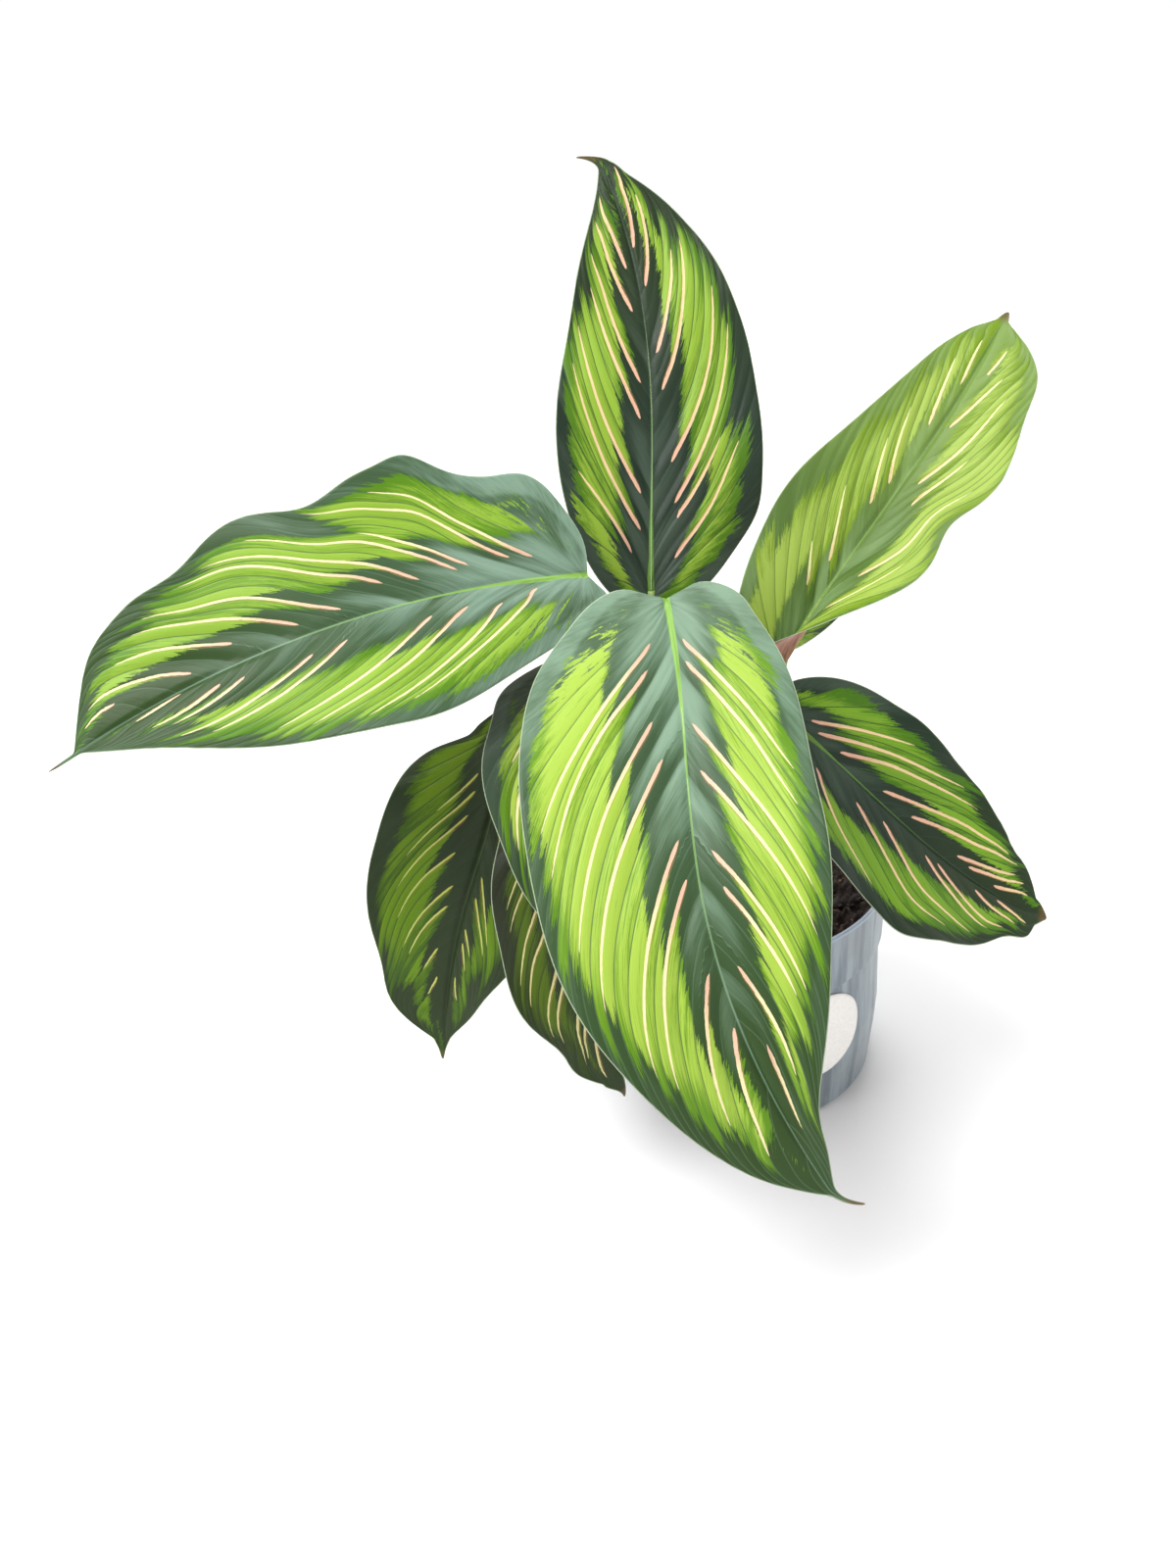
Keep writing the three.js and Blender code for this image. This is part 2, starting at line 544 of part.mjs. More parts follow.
// Potting mix: fills the pot to below its rim, with a lumpy top, bark chips and a plain
// hole for each stalk.
function soilGeometry() {
  const clear = POT_WALL + SOIL_GAP;
  const points = [];
  const triangles = [];
  const lump = (x, y) => SOIL_RELIEF * 0.4 * (
    Math.sin(x * 0.31 + 1) * Math.cos(y * 0.27)
    + Math.sin((x + y) * 0.17)
    + 0.5 * Math.cos(x * 0.55 - y * 0.48)
  );
  const bandShare = (SOIL_TOP - BAND_FOOT_Z) / (POT_HEIGHT - BAND_FOOT_Z);
  const topRadius = mix(BAND_FOOT_RADIUS, RIM_RADIUS, bandShare) - clear - GAP;
  const side = [
    [topRadius, SOIL_TOP - SOIL_SHOULDER],
    [BAND_FOOT_RADIUS - clear, BAND_FOOT_Z + 1],
    [WALL_TOP_RADIUS - clear, BAND_FOOT_Z - 1.5],
    [WALL_MID_RADIUS - clear, WALL_MID_Z],
    [SKIRT_RADIUS - clear, SKIRT_Z],
    [BASE_RADIUS - clear, FLOOR_THICKNESS + GAP],
  ];
  points.push(new THREE.Vector3(0, 0, SOIL_TOP + lump(0, 0)));
  const addRing = (radius, height) => {
    for (let i = 0; i < SOIL_SIDES; i += 1) {
      const angle = 2 * Math.PI * i / SOIL_SIDES;
      const [x, y] = [radius * Math.cos(angle), radius * Math.sin(angle)];
      points.push(new THREE.Vector3(x, y, height(x, y)));
    }
  };
  for (let ring = 1; ring <= SOIL_RINGS; ring += 1) {
    addRing(topRadius * ring / SOIL_RINGS, (x, y) => SOIL_TOP + lump(x, y));
  }
  side.forEach(([radius, z]) => addRing(radius, () => z));
  points.push(new THREE.Vector3(0, 0, FLOOR_THICKNESS + GAP));
  const rings = SOIL_RINGS + side.length;
  const at = (ring, i) => 1 + ring * SOIL_SIDES + (i % SOIL_SIDES);
  for (let i = 0; i < SOIL_SIDES; i += 1) {
    triangles.push([0, at(0, i), at(0, i + 1)]);
    for (let ring = 0; ring < rings - 1; ring += 1) {
      triangles.push([at(ring, i), at(ring + 1, i), at(ring + 1, i + 1)]);
      triangles.push([at(ring, i), at(ring + 1, i + 1), at(ring, i + 1)]);
    }
    triangles.push([points.length - 1, at(rings - 1, i + 1), at(rings - 1, i)]);
  }
  let soil = toSolid(closedGeometry(points, triangles));
  const random = seeded(CHIP_SEED);
  for (let i = 0; i < CHIP_COUNT; i += 1) {
    const angle = 2 * Math.PI * random();
    const reach = mix(30, topRadius - 8, random());
    const chip = new THREE.BoxGeometry(mix(6, 12, random()), mix(4, 7, random()), 4);
    chip.rotateY(mix(-0.3, 0.3, random()));
    chip.rotateZ(Math.PI * random());
    const [x, y] = [reach * Math.cos(angle), reach * Math.sin(angle)];
    chip.translate(x, y, SOIL_TOP + lump(x, y) + 0.5);
    soil = soil.add(toSolid(chip));
  }
  for (const hole of holes) {
    soil = soil.subtract(hole);
  }
  return toGeometry(soil);
}

addPart('soil', soilGeometry(), 0x2a1a12, 0.95);
addPart('pot', potGeometry(), 0x8796a3, 0.4);
addPart('pot_label', labelGeometry(), 0xe9e6e1, 0.6);

export default parts;
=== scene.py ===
"""Potted beauty star calathea, dressed round its frame.

Nine patterned leaves on their stalks, potting mix, a nursery pot and its blank label.
Tables and shapes are in millimetres and become metres when a mesh is made. The patterns
are drawn on each blade from its own side veins: lanes between veins, pale stripes in
some of the lanes, and a bright band whose ragged ends follow the lanes.
"""

import math

import bmesh
import bpy
import numpy as np
from mathutils import Matrix, Vector


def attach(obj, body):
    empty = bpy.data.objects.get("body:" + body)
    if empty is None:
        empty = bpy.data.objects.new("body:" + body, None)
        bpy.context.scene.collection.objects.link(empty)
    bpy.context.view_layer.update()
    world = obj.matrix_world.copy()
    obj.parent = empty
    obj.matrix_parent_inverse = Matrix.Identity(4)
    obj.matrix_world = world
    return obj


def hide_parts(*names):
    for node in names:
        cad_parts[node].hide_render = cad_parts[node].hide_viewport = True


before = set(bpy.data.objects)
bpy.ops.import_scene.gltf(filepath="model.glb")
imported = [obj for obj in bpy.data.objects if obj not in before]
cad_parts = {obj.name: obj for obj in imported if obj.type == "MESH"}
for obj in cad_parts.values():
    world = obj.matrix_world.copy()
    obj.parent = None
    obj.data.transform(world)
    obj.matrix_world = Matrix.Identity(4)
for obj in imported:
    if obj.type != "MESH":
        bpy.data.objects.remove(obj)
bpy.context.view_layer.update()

MM = 0.001

# Camera: where the viewer stands, how far the view looks down and how the head is tilted
CAMERA_PLACE = (-68.6, -534.3, 473.4)
CAMERA_DOWN = math.radians(29.5)
CAMERA_ROLL = math.radians(7.5)
CAMERA_LENS = 30.0
SENSOR = 36.0

# Stage, in metres: a round floor that glows far out, so that it meets the surround, which is
# brighter at the horizon than overhead, and two large lamps
FLOOR_RADIUS = 2.6
FLOOR_SIDES = 96
FLOOR_TONES = (0.82, 0.84)
GLOW = 0.55
GLOW_FROM = 0.7
GLOW_TO = 2.0
HORIZON = 1.05
DOME = 0.55
DOME_FROM = 0.4
DOME_TO = 0.8
LAMPS = {"key": ((-0.8, -0.5, 1.8), 1.4, 42), "sheen": ((0.1, 1.1, 1.7), 1.6, 28)}
LAMP_AIM = (0, 0, 0.22)

# Pot
POT_HEIGHT = 111
RIM_RADIUS = 71
BAND_FOOT_Z = 79.5
BAND_FOOT_RADIUS = 68.3
WALL_TOP_RADIUS = 66.5
WALL_MID_Z = 40
WALL_MID_RADIUS = 65.5
SKIRT_Z = 26
SKIRT_RADIUS = 64
BASE_RADIUS = 60.5
BASE_CHAMFER = 2
POT_WALL = 1.6
FLOOR_THICKNESS = 3
FOOT_WIDTH = 8
FOOT_HEIGHT = 1.2
LIP_BULGE = 0.6
LIP_HEIGHT = 2.5
DRAIN_HOLES = 6
DRAIN_RADIUS = 4
DRAIN_CIRCLE = 40
DRAIN_CUT = 20
DRAIN_SIDES = 28
POT_SIDES = 160

# Label
LABEL_RADIUS = 24
LABEL_CENTRE_Z = 52
LABEL_TURN = math.radians(23)
LABEL_THICKNESS = 0.35
LABEL_LIFT = 0.3
LABEL_ROUNDING = 0.06
LABEL_RINGS = 14
LABEL_SIDES = 96

# Potting mix
SOIL_TOP = 97
SOIL_RELIEF = 1.8
SOIL_CLEAR = 1.7
SOIL_GAP = 0.3
SOIL_RINGS = 90
SOIL_SIDES = 260
SOIL_EDGE_RINGS = 4
SOIL_SEED = 11
CRUMB_WAVES = 26
CRUMB_HEIGHT = 0.34
BARK_CHIPS = dict(count=520, size=(2.0, 8.5), flatness=(0.45, 0.7), inset=5)
WHITE_GRAINS = dict(count=60, size=(0.9, 1.9), flatness=(0.8, 1.0), inset=4)

# Stalks
STALK_DEPTH = 12
SHEATH_RADIUS = 3.6
STALK_RADIUS = 2.0
KNEE_RADIUS = 2.5
KNEE_START = 0.86
KNEE_SINK = 1.3
SHEATH_END = 0.45
SHEATH_GROOVE = 0.16
SHEATH_OPENING = 0.35
STALK_SIDES = 20
STALK_STEPS = 90

# Blades
BLADE_ROWS = 200
BLADE_COLUMNS = 48
COLUMN_CROWDING = 1.3
BLADE_THICKNESS = 0.55
RIB_DEPTH = 1.9
RIB_HALF_WIDTH = 1.5
TAIL_HALF_WIDTH = 1.3
TAIL_BEYOND = 0.8
NECK_TAPER = 0.02
SWELL_FADE = 0.06
LEAST_CURL = 0.06
LOBE_REACH = 0.3
LOBE_START = 0.008
ROW_SWEEP = 0.6
ROW_BEND = 1.2
ROW_CROWDING = 0.4
VEIN_SWEEP = 0.78
VEIN_BEND = 1.1
NECK_CROWDING = 0.15
VEIN_ROUNDS = 34

# Side veins and stripes: how far towards the tip a vein reaches half way across, the gaps
# between stripes from which on one lane more fits in, the lanes before the first stripe and
# after the last, the share of those last lanes that the band reaches into, the tapers at a
# stripe's two ends, and the creases along the main veins
MID_SWEEP = 0.445
LANE_GAPS = (9, 24, 42)
NECK_LANE = 12
TIP_LANE = 10
LEAST_GAP = 0.012
OFF_STRIPE = -0.4
BAND_END = 0.55
STRIPE_TAPERS = (0.05, 0.25)
STRIPE_NARROWING = 0.45
HIDDEN_PAIRS = 5
HIDDEN_REACH = (0.16, 0.85)
# For halves whose band does not give way to the painted sheen at the neck: a distance from the neck that is
# never reached
NO_NECK_SHEEN = 99
LANE_BLOCK = 40
STRIPE_SMOOTHING = 16
CREASE_GAP = 20
NO_CREASE = 999
CREASE_REACH = 5.0
PLEAT = 2.4
BULGE = 0.22
GROOVE_DEPTH = 0.5
GROOVE_HALF_WIDTH = 1.6
THREAD_HEIGHT = 0.35
THREAD_HALF_WIDTH = 0.55

# One entry a leaf, over what is usual. The midrib is a cubic curve from the neck to the tip,
# and face is the way the upper side looks at the neck, half way and at the tip. Pairs of
# values are for the left and the right half, seen from the upper side with the tip up.
# Widths: half_width at its widest place, fullness and taper of the run to the tip, and
# swells as (place, spread, rise). Angles, in degrees: fold and curl at the neck and the tip.
# wave: height, count and the two phases. lobe: how far the margin reaches back at the neck.
# tail: length of the thin tip. hook: its bend sideways, and where that starts.
# root: where the stalk stands in the mix.
USUAL = dict(
    swell=((), ()), taper=(1, 1), fold=((12, 12), (12, 12)), fold_fade=1, curl=((0, 0), (0, 0)),
    wave=(2, 3, 0, 0.3), lobe=(6, 6), tail=14, hook=(0, 0.93),
)
LEAVES = {
    "leaf_top": dict(
        USUAL,
        midrib=[(-29, 24, 249), (-21, 48, 320), (-6, 70, 362), (-29, 106, 431)],
        face=[(0.1, -1, 0.25), (0, -1, 0.35), (-0.05, -1, 0.5)],
        half_width=(44, 52), widest=(0.36, 0.4), fullness=(1.9, 1.9), taper=(1.3, 1),
        swell=(
            ((0.8, 0.17, 4.5),),
            ((0.2, 0.07, 3), (0.46, 0.15, -4), (0.62, 0.08, -1.5), (0.88, 0.12, 2.5), (0.97, 0.03, 4)),
        ),
        fold=((15, 8), (12, 0)), curl=((-10, 0), (-10, 0)), tail=10, hook=(-9, 0.95), root=(-12, 12),
    ),
    "leaf_left": dict(
        USUAL,
        midrib=[(-57, -6, 276), (-129, -28, 290), (-203, -50, 282), (-278, -72, 249)],
        face=[(0, -0.8, 1), (0, -0.9, 1), (0, -0.8, 1)],
        half_width=(47, 60), widest=(0.4, 0.432), fullness=(2.2, 2.4), taper=(0.95, 0.9),
        swell=(
            ((0.38, 0.16, 6.5), (0.835, 0.13, -3.2)),
            ((0.08, 0.06, 10), (0.27, 0.045, 6), (0.44, 0.075, -9.5), (0.67, 0.07, -7), (0.855, 0.06, 5)),
        ),
        fold=((8, 8), (12, 10)), curl=((-10, -10), (10, 0)),
        wave=(2.6, 2.6, 0.1, 0.32), lobe=(12, 4), tail=15, root=(-24, 2),
    ),
    "leaf_front": dict(
        USUAL,
        midrib=[(-27, -34, 272), (-25, -120, 220), (-56, -169, 204), (7, -192, 80)],
        face=[(0, -0.3, 1), (0.05, -0.8, 0.8), (0, -1, 0.4)],
        half_width=(54, 69), widest=(0.38, 0.42), fullness=(1.9, 1.9), taper=(1.7, 1),
        swell=(
            ((0.03, 0.04, 5), (0.34, 0.16, -6.2), (0.7, 0.13, 3.4), (0.9, 0.06, 3.8)),
            ((0.03, 0.03, 2), (0.14, 0.09, 4), (0.46, 0.16, -7.5), (0.69, 0.12, -6), (0.88, 0.06, 1.5)),
        ),
        fold=((10, 25), (10, 5)), curl=((-15, -10), (-10, -5)),
        lobe=(12, 13), hook=(-8, 0.94), root=(-6, -14),
    ),
    "leaf_upper_right": dict(
        USUAL,
        midrib=[(21, -5, 217), (50, -1, 266), (87, -4, 299), (131, 25, 355)],
        face=[(-0.5, -0.8, 0.5), (-0.3, -0.8, 0.6), (-0.3, -0.8, 0.6)],
        half_width=(40, 39), widest=(0.36, 0.5), fullness=(1.9, 2.4), taper=(1, 0.9),
        swell=(((0.9, 0.12, 6.5),), ((0.24, 0.06, -2.5), (0.52, 0.08, -9), (0.9, 0.08, 8))),
        fold=((30, 10), (128, 5)), fold_fade=4.2, curl=((20, 0), (20, 0)), tail=6, root=(12, 2),
    ),
    "leaf_right": dict(
        USUAL,
        midrib=[(14, -40, 218), (39, -55, 202), (80, -68, 135), (124, -75, 116)],
        face=[(0.2, -0.6, 1), (0.2, -0.6, 1), (0.3, -0.6, 0.8)],
        half_width=(42, 48), widest=(0.38, 0.42), fullness=(3, 2.8), taper=(1, 0.9),
        swell=(
            ((0.45, 0.1, -2), (0.72, 0.06, -2), (0.92, 0.07, 8.5), (0.98, 0.03, 4)),
            ((0.58, 0.08, 6), (0.87, 0.04, -1.5), (0.95, 0.05, 8.5)),
        ),
        tail=8, root=(12, -20),
    ),
    "leaf_lower_left": dict(
        USUAL,
        midrib=[(-102, 16, 208), (-117, -22, 138), (-137, -16, 148), (-157, -36, 48)],
        face=[(-0.3, -0.6, 0.9), (-0.3, -0.9, 0.6), (-0.3, -1, 0.3)],
        half_width=(41, 50), widest=(0.42, 0.42), fullness=(2.2, 2.6), taper=(1.4, 1),
        swell=(
            ((0.6, 0.2, 1.8), (0.87, 0.09, 4.8)),
            ((0.05, 0.05, -9), (0.2, 0.09, 2.5), (0.5, 0.12, 1), (0.72, 0.14, -3.6), (0.86, 0.1, 9.5)),
        ),
        lobe=(3, -5), root=(-38, 6),
    ),
    "leaf_under_front": dict(
        USUAL,
        midrib=[(-62, -30, 245), (-82, -68, 223), (-90, -87, 193), (-76, -98, 133)],
        face=[(-0.3, -0.6, 0.9), (-0.3, -0.9, 0.6), (-0.2, -1, 0.3)],
        half_width=(34, 34), widest=(0.42, 0.42), fullness=(1.9, 1.9),
        swell=((), ((0.15, 0.08, 6), (0.6, 0.18, -7.5))), root=(-22, -16),
    ),
    "leaf_lowest": dict(
        USUAL,
        midrib=[(-80, -28, 196), (-89, -57, 155), (-93, -77, 114), (-67, -88, 58)],
        face=[(-0.3, -0.7, 0.8), (-0.3, -0.9, 0.5), (-0.2, -1, 0.2)],
        half_width=(32, 31), widest=(0.42, 0.42), fullness=(2.2, 2.2),
        swell=((), ((0.7, 0.15, 3.2), (0.88, 0.07, 9), (0.95, 0.04, 4))), hook=(4, 0.93), root=(-38, -16),
    ),
    "leaf_back": dict(
        USUAL,
        midrib=[(33, 34, 215), (55, 60, 232), (85, 95, 232), (113, 112, 270)],
        face=[(0.3, -0.5, 0.8), (0.3, -0.5, 0.8), (0.3, -0.4, 0.8)],
        half_width=(34, 18), widest=(0.42, 0.42), fullness=(1.9, 1.9), root=(18, 16),
    ),
}

# Stripes of each half, from the neck to the tip. A stripe is a list of (across, start) in
# per cent: how far across the half it runs, and the place along the midrib where the vein
# that passes there starts.
STRIPES = {
    "leaf_top": ([
        [(29, 1.1), (80, 0.5)],
        [(14, 10.5), (24, 8), (50, 6.5), (75, 8.5), (89, 10.5)],
        [(12, 19), (25, 17), (50, 16), (74, 18.5), (89, 19.5)],
        [(12, 35.5), (33, 37), (49, 38), (67, 41), (76, 41.5)],
        [(11, 44), (33, 46), (46, 48.5), (61, 53.5), (79, 50.5)],
        [(14, 60), (29, 62), (60, 69), (80, 64.5)],
        [(14, 69.5), (24, 73.5), (35, 76.5), (76, 77.5)],
    ], [
        [(31, 0.4), (48, 0.6), (79, 2.3)],
        [(24, 8.5), (31, 7.5), (51, 6.5), (63, 7)],
        [(21, 12.5), (41, 11.5), (53, 12), (72, 14), (86, 17.5)],
        [(17, 23.5), (35, 23), (54, 23.5), (78, 28), (83, 29)],
        [(10, 42.5), (26, 44.5), (50, 49.5), (63, 52), (74, 53)],
        [(8, 51.5), (26, 55), (48, 58.5), (55, 60)],
        [(7, 66.5), (23, 71), (40, 76.5), (58, 80)],
        [(4, 75.5), (20, 82), (33, 86.5), (78, 87)],
    ]),
    "leaf_left": ([
        [(15, 5.5), (31, 1.4), (54, 0.7), (71, 1.5), (84, 3.5)],
        [(23, 8.5), (37, 4.6), (51, 2.9), (69, 4.2), (88, 6)],
        [(18, 16.5), (33, 14), (47, 12.5), (62, 13), (86, 15.5)],
        [(17, 23.5), (25, 22.5), (46, 21), (66, 22), (82, 24.5)],
        [(17, 40), (32, 39.5), (49, 40.5), (63, 44.5), (76, 45.5)],
        [(19, 45.5), (33, 46.5), (50, 50), (66, 52.5), (76, 54)],
        [(18, 59.5), (32, 62), (45, 65), (50, 67.5)],
        [(16, 64), (29, 67), (40, 69), (47, 74.5)],
        [(5, 73), (8, 76), (13, 78.5), (18, 82.5)],
    ], [
        [(21, 2.4), (48, 0.8), (85, 1.3)],
        [(23, 4.7), (47, 2.4), (72, 3), (95, 2.9)],
        [(20, 13), (35, 13), (62, 8.5)],
        [(16, 17), (28, 16.5), (64, 10.5), (77, 13.5), (84, 16.5)],
        [(14, 25.5), (33, 22.5), (57, 19), (69, 25), (85, 22.5)],
        [(20, 29), (37, 26), (53, 28), (87, 26.5)],
        [(10, 41), (25, 43), (56, 43), (74, 43), (81, 46)],
        [(9, 49.5), (26, 51), (57, 50), (68, 52.5), (75, 54)],
        [(17, 59), (37, 61), (51, 63.5), (64, 68.5)],
        [(10, 69.5), (26, 72), (43, 78), (62, 81.5)],
        [(26, 81), (37, 84), (48, 87)],
    ]),
    "leaf_front": ([
        [(10, 5), (28, 2.3), (54, 1), (85, 0.8)],
        [(9, 9), (27, 5.6), (56, 2.5), (84, 2.5)],
        [(8, 20.5), (29, 16.5), (57, 11), (77, 9.5), (87, 9)],
        [(11, 27), (29, 23), (56, 18), (79, 15), (87, 15)],
        [(13, 39), (29, 36.5), (54, 34), (76, 33.5)],
        [(17, 42.5), (29, 41), (54, 40), (66, 40.5)],
        [(16, 55), (33, 57), (50, 60.5), (54, 65.5)],
        [(21, 65.5), (30, 70.5), (34, 77), (35, 84)],
    ], [
        [(21, 1.7), (47, 1.2), (90, 1.9)],
        [(22, 4.9), (49, 2.8), (70, 3.4), (89, 4.3)],
        [(19, 14.5), (54, 13), (84, 12.5)],
        [(14, 23), (26, 23.5), (54, 21.5), (84, 20)],
        [(9, 38), (26, 39), (52, 38.5), (80, 34.5)],
        [(7, 44), (25, 45), (51, 45.5), (73, 44)],
        [(8, 57), (22, 59), (46, 62.5), (58, 65.5)],
        [(4, 65.5), (18, 69.5), (35, 76), (51, 77.5)],
    ]),
    "leaf_upper_right": ([
        [(22, 14), (45, 12)],
        [(15, 24.5), (37, 26), (50, 25)],
        [(15, 42), (50, 44)],
        [(12, 49.5), (25, 50), (56, 53)],
        [(16, 65), (35, 71), (53, 77.5)],
        [(10, 78.5), (31, 90.5)],
    ], [
        [(33, 7.5), (46, 3.7), (69, 8.5)],
        [(30, 19), (39, 17), (62, 17.5), (79, 25)],
        [(31, 40), (52, 50)],
        [(19, 50), (43, 58.5), (64, 68.5)],
        [(10, 68.5), (30, 74.5), (46, 79.5)],
        [(20, 81.5), (29, 86), (39, 88.5)],
    ]),
    "leaf_right": ([
        [(20, 3), (45, 2.5), (75, 4.5)],
        [(11, 9.5), (33, 9), (54, 11.5), (73, 15.5), (85, 19)],
        [(11, 17.5), (41, 17.5), (59, 22.5), (80, 33)],
        [(11, 34), (25, 37), (43, 44.5), (59, 51), (84, 60)],
        [(11, 45.5), (23, 49), (40, 58), (60, 62), (84, 68)],
        [(12, 64.5), (20, 67.5), (35, 73.5), (62, 78)],
        [(10, 69.5), (19, 73.5), (35, 79.5), (60, 84)],
        [(10, 80), (25, 85), (45, 90)],
    ], [
        [(28, 7), (40, 4.6), (67, 3.1), (84, 8.5)],
        [(23, 23), (48, 27), (80, 37)],
        [(17, 35.5), (43, 41.5), (80, 51)],
        [(13, 54.5), (42, 60.5), (72, 65)],
        [(12, 59), (28, 63.5), (48, 68), (74, 72)],
        [(14, 73.5), (34, 78.5), (60, 83)],
        [(12, 82), (30, 87), (50, 90)],
    ]),
    "leaf_lower_left": ([
        [(15, 15), (47, 11)],
        [(11, 26), (44, 23)],
        [(11, 40.5), (31, 43), (48, 45.5)],
        [(12, 46.5), (28, 48), (48, 49)],
        [(11, 57), (30, 59)],
        [(12, 60.5), (31, 65)],
        [(14, 70.5), (18, 75), (33, 75.5)],
    ], [
        [(23, 8.5), (54, 7)],
        [(21, 14), (53, 12), (68, 15)],
        [(22, 20.5), (52, 20), (70, 23.5)],
        [(23, 32), (48, 31), (68, 34.5)],
        [(15, 44.5), (46, 45.5), (65, 46)],
        [(16, 50.5), (45, 51), (59, 52.5)],
        [(20, 62.5), (39, 65.5)],
        [(17, 71.5), (31, 76.5)],
    ]),
    "leaf_under_front": ([
        [(24, 6), (50, 4.5), (78, 6)],
        [(20, 10.5), (50, 9), (74, 11)],
        [(16, 24), (50, 23), (76, 26)],
        [(14, 32), (50, 32), (72, 35)],
        [(12, 50), (40, 52), (66, 55)],
        [(10, 66), (30, 69), (50, 72)],
    ], [
        [(30, 3.5), (44, 3.7), (63, 6)],
        [(20, 11.5), (35, 12.5), (48, 18), (63, 19), (75, 23.5)],
        [(14, 20), (23, 22), (38, 26.5), (53, 30), (66, 32)],
        [(13, 40), (50, 44), (72, 45.5)],
        [(12, 48), (50, 52), (66, 54)],
        [(10, 65), (30, 68.5), (50, 72)],
    ]),
    "leaf_lowest": ([
        [(26, 5), (50, 4), (80, 4.5)],
        [(22, 9), (50, 8), (82, 8)],
        [(17, 26), (50, 23), (80, 21)],
        [(15, 33), (50, 30), (78, 29)],
        [(12, 48), (50, 48), (76, 46)],
        [(11, 55), (45, 56), (70, 55)],
        [(10, 69), (30, 71), (52, 75)],
    ], [
        [(30, 3), (64, 3.4), (80, 3.4)],
        [(26, 8), (55, 9), (69, 6.6), (81, 6.2)],
        [(18, 24), (41, 22.8), (61, 19.2), (83, 18.5)],
        [(16, 34), (37, 33.5), (55, 28.8), (81, 28)],
        [(12, 47.5), (31, 49), (49, 47), (65, 45), (84, 42)],
        [(10, 53), (25, 55.4), (48, 53.7), (68, 51.7), (77, 51.3)],
        [(9, 65), (22, 67.5), (38, 67.4), (53, 71.5), (60, 77)],
        [(8, 70), (14, 71.4), (37, 72), (48, 76.8)],
        [(10, 77.5), (19, 79.4), (29, 83.3), (54, 86.8)],
    ]),
}

# Bright band: where it begins and ends across the half at the neck, how far outside the
# stripes' inner ends it begins, how far past their outer ends it runs, and whether it
# breaks up towards the neck into the painted sheen, a reflection painted on the ground. From
# each stripe to the next one its beginning moves out, by BAND_SAW in all
PLAIN_BAND = ((0.30, 0.80), 0.07, 0.05, False)
BANDS = {
    "leaf_top": ((0.30, 0.78), 0.07, 0.07, False),
    "leaf_left": ((0.34, 0.80), 0.08, 0.05, True),
    "leaf_front": ((0.45, 0.80), 0.09, 0.05, True),
    "leaf_upper_right": ((0.12, 0.92), -0.04, 0.3, False),
    "leaf_right": ((0.30, 0.80), 0.06, 0.07, False),
    "leaf_lower_left": ((0.24, 0.92), 0.02, 0.26, False),
    "leaf_under_front": ((0.30, 0.92), 0.05, 0.16, True),
}
BAND_SAW = 0.19

# Colours of each leaf, linear: ground between the veins and its painted sheen, a paler tone
# that stands for soft light reflected off it, the green that it turns towards the tip, the
# bright band and its deep tone, stripe near the midrib and further out, midrib, underside,
# and the width of its stripes
MID = dict(
    ground=(0.038, 0.078, 0.032), painted_sheen=(0.155, 0.245, 0.165), tip=(0.018, 0.046, 0.003),
    band=(0.29, 0.43, 0.048), deep=(0.085, 0.20, 0.004), pink=(0.66, 0.41, 0.29),
    cream=(0.74, 0.64, 0.36), rib=(0.21, 0.39, 0.075), under=(0.20, 0.048, 0.066), stripe=0.8,
)
DARK = dict(
    ground=(0.010, 0.024, 0.012), painted_sheen=(0.038, 0.062, 0.040), tip=(0.014, 0.028, 0.007),
    band=(0.21, 0.34, 0.028), deep=(0.055, 0.14, 0.003), pink=(0.62, 0.36, 0.25),
    cream=(0.66, 0.49, 0.26), rib=(0.11, 0.23, 0.035), under=(0.135, 0.030, 0.044), stripe=0.85,
)
# Painted shade: this palette and the next are darker, duller copies for the lower leaves, which lie in the
# shade of the upper ones
OLIVE_IN_SHADE = dict(
    DARK, ground=(0.015, 0.030, 0.008), painted_sheen=(0.030, 0.050, 0.020), tip=(0.016, 0.030, 0.006),
    band=(0.095, 0.185, 0.001), deep=(0.032, 0.080, 0.001), pink=(0.40, 0.44, 0.08),
    cream=(0.42, 0.46, 0.12), rib=(0.05, 0.085, 0.020), stripe=0.55,
)
SHADED = dict(
    OLIVE_IN_SHADE, ground=(0.016, 0.022, 0.008), painted_sheen=(0.030, 0.040, 0.020), band=(0.055, 0.100, 0.002),
    deep=(0.020, 0.038, 0.002), pink=(0.46, 0.38, 0.18), cream=(0.48, 0.44, 0.20), stripe=0.6,
)
PALE = dict(
    MID, ground=(0.070, 0.130, 0.024), painted_sheen=(0.150, 0.240, 0.085), tip=(0.14, 0.23, 0.040),
    band=(0.27, 0.38, 0.060), deep=(0.13, 0.22, 0.008), pink=(0.66, 0.50, 0.26),
    cream=(0.68, 0.68, 0.32), rib=(0.20, 0.34, 0.060), under=(0.42, 0.19, 0.12), stripe=0.65,
)
PALETTES = {
    "leaf_top": DARK,
    "leaf_left": dict(
        MID, painted_sheen=(0.165, 0.255, 0.185), band=(0.21, 0.35, 0.030), deep=(0.070, 0.18, 0.004), stripe=0.7,
    ),
    "leaf_front": MID,
    "leaf_upper_right": PALE,
    "leaf_right": dict(DARK, band=(0.14, 0.28, 0.014), deep=(0.045, 0.13, 0.002)),
    "leaf_lower_left": OLIVE_IN_SHADE,
    "leaf_under_front": dict(MID, ground=(0.035, 0.065, 0.036), painted_sheen=(0.12, 0.18, 0.13)),
    "leaf_lowest": SHADED,
    "leaf_back": dict(DARK, stripe=0.55),
}

